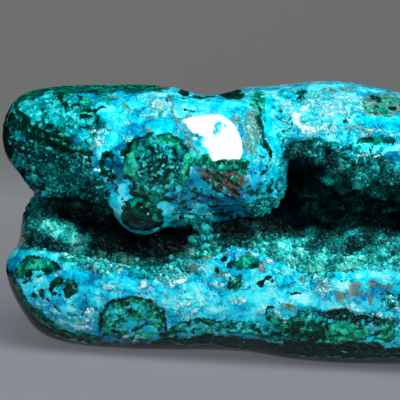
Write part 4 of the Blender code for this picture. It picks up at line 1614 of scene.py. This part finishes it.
@dataclass
class Crust:
    """The bed of druse that lines the hollow, pushed into the stone behind it.

    Lumps, crags and clumps are each a spacing in millimetres and a strength. The fades are in cells of the
    drawing grid, and the others in millimetres of depth.
    """

    markings: Markings
    stone: bpy.types.Object
    voxel: float = 0.36
    rounds: int = 2
    into_stone: float = 0.9
    near_stone: float = 1.6
    crags: tuple[float, float] = (4.2, 1.3)
    large_lumps: tuple[float, float] = (1.9, 0.8)
    small_lumps: tuple[float, float] = (0.8, 0.45)
    clumps: tuple[float, float] = (2.6, 0.36)
    thinned: float = 2.6
    thin_depth: tuple[float, float] = (11.0, 5.0)
    # How much darker the druse is painted in the creases between its lumps.
    lump_shade: float = 0.22
    edge_tone: float = 0.38
    edge_fade: tuple[float, float] = (-5.0, 8.0)
    # Fades of the lit druse and of the painted shadow spots, then how the hollow's painted shade runs with
    # depth, its least and most, and its most in the painted shadows.
    lit_fade: tuple[float, float] = (-7.0, 9.0)
    shadow_fade: tuple[float, float] = (-5.0, 6.0)
    shade_depth: tuple[float, float] = (2.0, 15.0)
    shade_least: float = 0.35
    shade_most: float = 0.97
    shadow_most: float = 0.985
    surface: Surface = field(init=False)
    back: np.ndarray = field(init=False)
    tone: np.ndarray = field(init=False)

    def build(self, node: bpy.types.Object) -> bpy.types.Object:
        """Builds the crust.

        Args:
            node: The crust's node.

        Returns:
            The finished piece.
        """
        thing = merged_copy(node, "druse_bed")
        rebuild(thing, self.voxel, self.rounds)
        self.surface = Surface(thing)
        places = self.markings.bedding.from_world(self.surface.points)
        self.back = self.behind()
        lumps = sum(h * each(places, s, lump) for s, h in (self.crags, self.large_lumps, self.small_lumps))
        front = self.thinned * eased(places[:, 1], *self.thin_depth)
        self.surface.raise_by(np.where(self.back, self.into_stone, lumps - front))
        self.surface.move(in_box(self.surface.points))
        # The depth attribute holds the hollow's painted shade.
        self.surface.keep("depth", self.shaded(self.surface))
        self.tone = self.clean_edge(places) + self.clumped(places)
        # Painted shade: the druse is darker in the creases between its lumps and lighter on their tops.
        self.tone = self.tone + self.lump_shade * (lumps - np.median(lumps))
        self.surface.keep("tone", self.tone)
        thing.data.materials.append(CrustFinish().make())
        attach(thing, "root")
        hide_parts("druse_crust")
        return thing

    def clumped(self, places: np.ndarray) -> np.ndarray:
        """How much lighter or darker the druse is by its clumps."""
        return self.clumps[1] * each(places, self.clumps[0], broken)

    def clean_edge(self, places: np.ndarray) -> np.ndarray:
        """How much lighter the druse is where it meets the polished slab."""
        cells = self.markings.view.grid(places)
        lighter = [self.edge_tone * eased(vein.inside(cells), *self.edge_fade) for vein in DRUSE_EDGE]
        return np.max(lighter, axis=0)

    def behind(self) -> np.ndarray:
        """Whether each vertex is on the side that lies against the stone.

        Returns:
            True or false for each vertex.
        """
        tree = BVHTree.FromObject(self.stone, bpy.context.evaluated_depsgraph_get())
        found = np.zeros(len(self.surface.points), dtype=bool)
        for index, (point, normal) in enumerate(zip(self.surface.points, self.surface.normals)):
            hit = tree.ray_cast(Vector(point), Vector(normal), self.near_stone * MM)
            found[index] = hit[0] is not None
        return found

    def shaded(self, surface: Surface) -> np.ndarray:
        """How much painted shade darkens the druse, deep in the hollow and in its painted shadows.

        Args:
            surface: The surface that is shaded.

        Returns:
            An amount for each vertex, from 0 on lit druse to 1 deep in the hollow.
        """
        places = self.markings.bedding.from_world(surface.points)
        cells = self.markings.view.grid(places)
        unshaded = np.zeros(len(places))
        for share, spot in LIT_DRUSE:
            unshaded = np.maximum(unshaded, share * eased(spot.inside(cells), *self.lit_fade))
        # Painted shade: darker the deeper into the hollow, lighter on the lit druse.
        painted_shade = self.shade_least + eased(places[:, 1], *self.shade_depth) - unshaded
        painted_shade = np.clip(painted_shade, 0.0, self.shade_most)
        # Painted shadow under the lobe and the knob.
        for spot in SHADOWED_DRUSE:
            painted_shade = np.maximum(painted_shade, self.shadow_most * eased(spot.inside(cells), *self.shadow_fade))
        return painted_shade


class Crystal(Enum):
    """The shape of a small crystal."""

    GRAIN = "grain"
    POINT = "point"
    BALL = "ball"


@dataclass
class CrystalField:
    """Many small crystals in one joined mesh, grown out of a surface.

    A point is as wide and as long as its two numbers say where a grain is 1, and small ones are the commoner
    the higher the power.
    """

    name: str
    count: int
    size: tuple[float, float]
    seed: int
    kind: Crystal = Crystal.GRAIN
    tone: tuple[float, float] = (0.46, 0.13)
    tone_limits: tuple[float, float] = (0.02, 0.99)
    lumpy: float = 0.12
    leaning: float = 0.35
    stretch: tuple[float, float] = (0.7, 1.35)
    point: tuple[float, float] = (0.62, 2.6)
    power: int = 2

    def prototype(self) -> tuple[np.ndarray, np.ndarray]:
        """Builds one crystal of unit size that stands on its base.

        Returns:
            Its vertices and its triangles.
        """
        work = bmesh.new()
        if self.kind is Crystal.POINT:
            wide, long = self.point
            bmesh.ops.create_cone(
                work, cap_ends=True, cap_tris=True, segments=6, radius1=wide, radius2=0.0, depth=long
            )
        elif self.kind is Crystal.BALL:
            bmesh.ops.create_uvsphere(work, u_segments=8, v_segments=6, radius=1.0)
        else:
            bmesh.ops.create_icosphere(work, subdivisions=1, radius=1.0)
        bmesh.ops.triangulate(work, faces=work.faces[:])
        vertices = np.array([v.co[:] for v in work.verts])
        triangles = np.array([[v.index for v in f.verts] for f in work.faces])
        work.free()
        return vertices, triangles

    def rooted(
        self, surface: Surface, wanted: np.ndarray, draw: np.random.Generator
    ) -> tuple[np.ndarray, np.ndarray, np.ndarray]:
        """Picks the crystals' places, more of them where more are wanted.

        Args:
            surface: What they grow on.
            wanted: For each vertex of it, how many grow there, relative to the others.
            draw: The random numbers.

        Returns:
            The crystals' roots, their three axes, and a vertex of the surface beside each.
        """
        mesh = surface.thing.data
        mesh.calc_loop_triangles()
        ends = np.empty((len(mesh.loop_triangles), 3), dtype=np.int32)
        mesh.loop_triangles.foreach_get("vertices", ends.ravel())
        a, b, c = (surface.points[ends[:, i]] for i in range(3))
        area = np.linalg.norm(np.cross(b - a, c - a), axis=1) * wanted[ends].mean(axis=1)
        face = draw.choice(len(ends), self.count, p=area / area.sum())
        share = np.sqrt(draw.uniform(0, 1, self.count))[:, None]
        other = draw.uniform(0, 1, self.count)[:, None]
        root = (1 - share) * a[face] + share * (1 - other) * b[face] + share * other * c[face]
        up = surface.normals[ends[face]].mean(axis=1) + draw.normal(0, self.leaning, (self.count, 3))
        up /= np.linalg.norm(up, axis=1, keepdims=True)
        side = np.cross(up, draw.normal(0, 1, (self.count, 3)))
        side /= np.linalg.norm(side, axis=1, keepdims=True)
        return root, np.stack([side, np.cross(up, side), up], axis=1), ends[face, 0]

    def build(
        self, surface: Surface, wanted: np.ndarray, tone: np.ndarray, depth: np.ndarray
    ) -> bpy.types.Object:
        """Grows the crystals.

        Args:
            surface: What they grow on.
            wanted: For each vertex of it, how many grow there, relative to the others.
            tone: For each vertex of it, how much lighter they are there.
            depth: For each vertex of it, how much painted shade darkens them.

        Returns:
            The finished piece.
        """
        draw = np.random.default_rng(self.seed)
        root, axes, beside = self.rooted(surface, wanted, draw)
        small, large = self.size
        half = draw.uniform(0, 1, self.count) ** self.power * (large - small) + small
        stretch = draw.uniform(*self.stretch, (self.count, 3))
        shape, triangles = self.prototype()
        lumpy = draw.normal(1.0, self.lumpy, (self.count, len(shape), 1))
        local = shape[None] * lumpy * (half[:, None] * stretch)[:, None, :] * MM
        points = in_box(root[:, None] + np.einsum("nki,nij->nkj", local, axes))
        faces = triangles[None] + np.arange(self.count)[:, None, None] * len(shape)
        joined = bpy.data.meshes.new(self.name)
        joined.from_pydata(points.reshape(-1, 3).tolist(), [], faces.reshape(-1, 3).tolist())
        shade(joined, self.kind is Crystal.BALL)
        thing = placed(self.name, joined)
        tones = np.clip(tone[beside] + draw.normal(*self.tone, self.count), *self.tone_limits)
        # The depth attribute carries the painted shade of the hollow to the crystals.
        for name, values in (("tone", tones), ("depth", depth[beside])):
            layer = joined.attributes.new(name, "FLOAT", "POINT")
            layer.data.foreach_set("value", np.repeat(values, len(shape)).astype(np.float32))
        joined.materials.append(CrystalFinish().make())
        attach(thing, "root")
        return thing


@dataclass
class Druse:
    """The crystals that stand on the crust and on the stone's broken parts.

    The borders are in millimetres inside a mineral, and the depths and the height in millimetres.
    """

    stone: Stone
    crust: Crust
    deep_share: float = 0.25
    lit_tone: float = 0.12
    bed_tone: float = -0.42
    ball_tone: float = 0.02
    point_tone: float = 0.05
    cluster_fade: tuple[float, float] = (0.0, 2.0)
    cluster_depth: tuple[float, float] = (20.0, 14.0)
    back_share: float = 0.3
    back_depth: tuple[float, float] = (14.0, 20.0)
    rough_border: tuple[float, float] = (-0.1, 0.5)
    cream_border: tuple[float, float] = (0.6, -0.2)
    dark_border: tuple[float, float] = (-0.3, 0.3)
    lump_middle: float = 0.6
    # How much darker the grains are painted in the creases between the lumps.
    lump_shade: float = 0.3
    ground_tone: float = -0.06
    dark_tone: float = -0.25
    rim_height: tuple[float, float] = (24.0, 21.0)
    rim_tone: float = 0.3

    def build(self) -> list[bpy.types.Object]:
        """Grows all the crystals, those on the crust first."""
        return self.on_crust() + self.on_stone()

    def on_crust(self) -> list[bpy.types.Object]:
        """Grows the crystals that line the hollow.

        Returns:
            The finished pieces.
        """
        bed = self.crust.surface
        open_side = np.where(self.crust.back, 0.0, 1.0)
        # The hollow's painted shade, which darkens the crystals and thins them out.
        depth = self.crust.shaded(bed)
        wanted = open_side * (self.deep_share + (1 - self.deep_share) * (1 - depth))
        # Painted light and shade: crystals are lighter where the hollow's painted shade is less.
        tone = self.lit_tone * (1 - depth) + self.bed_tone + self.crust.tone
        places = self.crust.markings.bedding.from_world(bed.points)
        cells = self.crust.markings.view.grid(places)
        cluster = open_side * eased(CLUSTER.inside(cells), *self.cluster_fade)
        cluster = cluster * eased(places[:, 1], *self.cluster_depth)
        none = np.zeros(len(places))
        grains = CrystalField("druse_grains", 8500, (0.14, 0.46), 11)
        balls = CrystalField("druse_balls", 1500, (0.20, 0.55), 14, Crystal.BALL)
        heap = CrystalField("druse_cluster", 34, (0.4, 0.85), 15, Crystal.BALL)
        points = CrystalField("druse_points", 14000, (0.09, 0.20), 12, Crystal.POINT)
        return [
            grains.build(bed, wanted, tone, depth),
            balls.build(bed, wanted, tone + self.ball_tone, depth),
            heap.build(bed, cluster, none, none),
            points.build(bed, wanted, tone + self.point_tone, depth),
        ]

    def on_stone(self) -> list[bpy.types.Object]:
        """Grows the grains on the broken parts and the balls along the polished rim.

        Returns:
            The finished pieces.
        """
        ground = self.stone.surface
        found = self.stone.markings.lay(ground, [M.ROUGH, M.CREAM, M.DARK])
        places = self.stone.markings.bedding.from_world(ground.points)
        on_face = self.stone.markings.on_face(ground, places)
        seen = on_face + self.back_share * (1 - on_face) * eased(places[:, 1], *self.back_depth)
        wanted = eased(found[M.ROUGH], *self.rough_border) * seen * eased(found[M.CREAM], *self.cream_border)
        lumps = each(places, self.stone.large_lumps[0], lump) - self.lump_middle
        # Painted shade: grains are darker in the creases between the lumps and lighter on their tops.
        tone = self.lump_shade * lumps + self.ground_tone
        tone = tone + self.dark_tone * eased(found[M.DARK], *self.dark_border)
        rim = wanted * on_face * eased(places[:, 2], *self.rim_height)
        none = np.zeros(len(places))
        grains = CrystalField("broken_face_grains", 7500, (0.10, 0.38), 13)
        balls = CrystalField("rim_balls", 520, (0.22, 0.52), 16, Crystal.BALL)
        return [
            grains.build(ground, wanted, tone, none),
            balls.build(ground, rim, tone + self.rim_tone, none),
        ]


# ---- Studio ----


class LampUse(Enum):
    """What a lamp is there for: the colours, the highlight in the polish, the sparkle or the paper."""

    BODY = "body"
    POLISH = "polish"
    SPARKLE = "sparkle"
    PAPER = "paper"


@dataclass(frozen=True)
class Lamp:
    """A rectangular softbox aimed at a place of the bedding frame."""

    name: str
    use: LampUse
    aim: tuple[float, float, float]
    towards: tuple[float, float, float]
    away: float
    across: float
    high: float
    power: float
    roll: float = 0.0

    def place(self, bedding: Bedding, lit: Sequence[bpy.types.Object]) -> None:
        """Puts the lamp in the scene, where it lights only some pieces unless it is for the colour of all.

        Args:
            bedding: The stone's frame.
            lit: The pieces that it lights.
        """
        light = bpy.data.lights.new(self.name, "AREA")
        light.shape = "RECTANGLE"
        light.size, light.size_y = self.across, self.high
        light.energy = self.power
        lamp = placed(self.name, light)
        direction = Vector(self.towards).normalized()
        lamp.location = bedding.to_world(*self.aim) + direction * self.away
        facing = direction.to_track_quat("Z", "Y").to_matrix().to_4x4()
        lamp.rotation_euler = (facing @ Matrix.Rotation(math.radians(self.roll), 4, "Z")).to_euler()
        lamp.visible_diffuse = self.use in (LampUse.BODY, LampUse.PAPER)
        lamp.visible_glossy = self.use in (LampUse.POLISH, LampUse.SPARKLE)
        if self.use is not LampUse.BODY:
            group = bpy.data.collections.new(self.name)
            for piece in lit:
                group.objects.link(piece)
            lamp.light_linking.receiver_collection = group
            if self.use is LampUse.PAPER:
                lamp.light_linking.blocker_collection = group


@dataclass
class Studio:
    """The paper sweep, the softboxes and the grey surroundings."""

    bedding: Bedding
    view: Viewpoint
    half_width: float = 1.6
    front: float = -1.2
    bend: float = 0.28
    radius: float = 0.4
    lift: float = math.radians(50.0)
    bend_steps: int = 12
    surroundings: tuple[float, float, float, float] = (0.30, 0.32, 0.35, 1.0)
    strength: float = 0.22
    polished: str = "stone_polished"
    lamps: tuple[Lamp, ...] = (
        Lamp("key softbox", LampUse.BODY, (38, 4, 36), (0.287, -0.58, 0.76), 0.62, 0.55, 0.75, 7.4),
        Lamp("glint softbox", LampUse.POLISH, (38, 4, 36), (0.32, -0.595, 0.736), 0.45, 0.35, 0.82, 48, 2.5),
        Lamp("sparkle softbox", LampUse.SPARKLE, (52, 12, 24), (0.30, -0.62, 0.72), 0.6, 0.3, 0.3, 3.0),
        Lamp("front card", LampUse.BODY, (38, 4, 26), (0.25, -0.95, 0.10), 0.9, 0.8, 0.5, 2.5),
        Lamp("paper card", LampUse.PAPER, (48, 0, 0), (-0.66, -0.44, 0.60), 0.9, 1.0, 1.0, 20.0),
    )

    def build(self, pieces: Sequence[bpy.types.Object]) -> None:
        """Builds the sweep and sets the lamps, the surroundings and the camera.

        Args:
            pieces: The specimen's pieces.
        """
        work = bmesh.new()
        steps = [i / self.bend_steps * self.lift for i in range(self.bend_steps + 1)]
        bend = [(self.bend + self.radius * math.sin(t), self.radius * (1 - math.cos(t))) for t in steps]
        profile = [(self.front, 0.0), *bend]
        line = [work.verts.new((-self.half_width, y, z)) for y, z in profile]
        edges = [work.edges.new(pair) for pair in zip(line, line[1:])]
        swept = bmesh.ops.extrude_edge_only(work, edges=edges)["geom"]
        far = [v for v in swept if isinstance(v, bmesh.types.BMVert)]
        bmesh.ops.translate(work, verts=far, vec=(2 * self.half_width, 0.0, 0.0))
        bmesh.ops.recalc_face_normals(work, faces=work.faces[:])
        sweep = finished("paper_sweep", work)
        shade(sweep.data)
        sweep.data.materials.append(PaperFinish().make())
        lit = {
            LampUse.BODY: [],
            LampUse.POLISH: [piece for piece in pieces if piece.name == self.polished],
            LampUse.SPARKLE: [piece for piece in pieces if piece.name != self.polished],
            LampUse.PAPER: [sweep],
        }
        for lamp in self.lamps:
            lamp.place(self.bedding, lit[lamp.use])
        world = bpy.data.worlds.new("grey surroundings")
        world.use_nodes = True
        background = next(n for n in world.node_tree.nodes if n.type == "BACKGROUND")
        background.inputs["Color"].default_value = self.surroundings
        background.inputs["Strength"].default_value = self.strength
        world.cycles_visibility.glossy = False
        bpy.context.scene.world = world
        bpy.context.scene.view_settings.view_transform = "Standard"
        self.view.place_camera()


def main() -> None:
    """Builds the specimen, its druse and the studio, and reports each piece."""
    logging.basicConfig(level=logging.INFO, format="%(message)s")
    bedding = Bedding()
    view = Viewpoint(bedding)
    markings = Markings(bedding, view)
    stone = Stone(markings)
    pieces = [stone.build(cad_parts["stone"])]
    crust = Crust(markings, pieces[0])
    pieces.append(crust.build(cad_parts["druse_crust"]))
    pieces += Druse(stone, crust).build()
    for piece in pieces:
        piece.data.calc_loop_triangles()
        LOG.info("%s: %d triangles", piece.name, len(piece.data.loop_triangles))
    Studio(bedding, view).build(pieces)


if __name__ == "__main__":
    main()
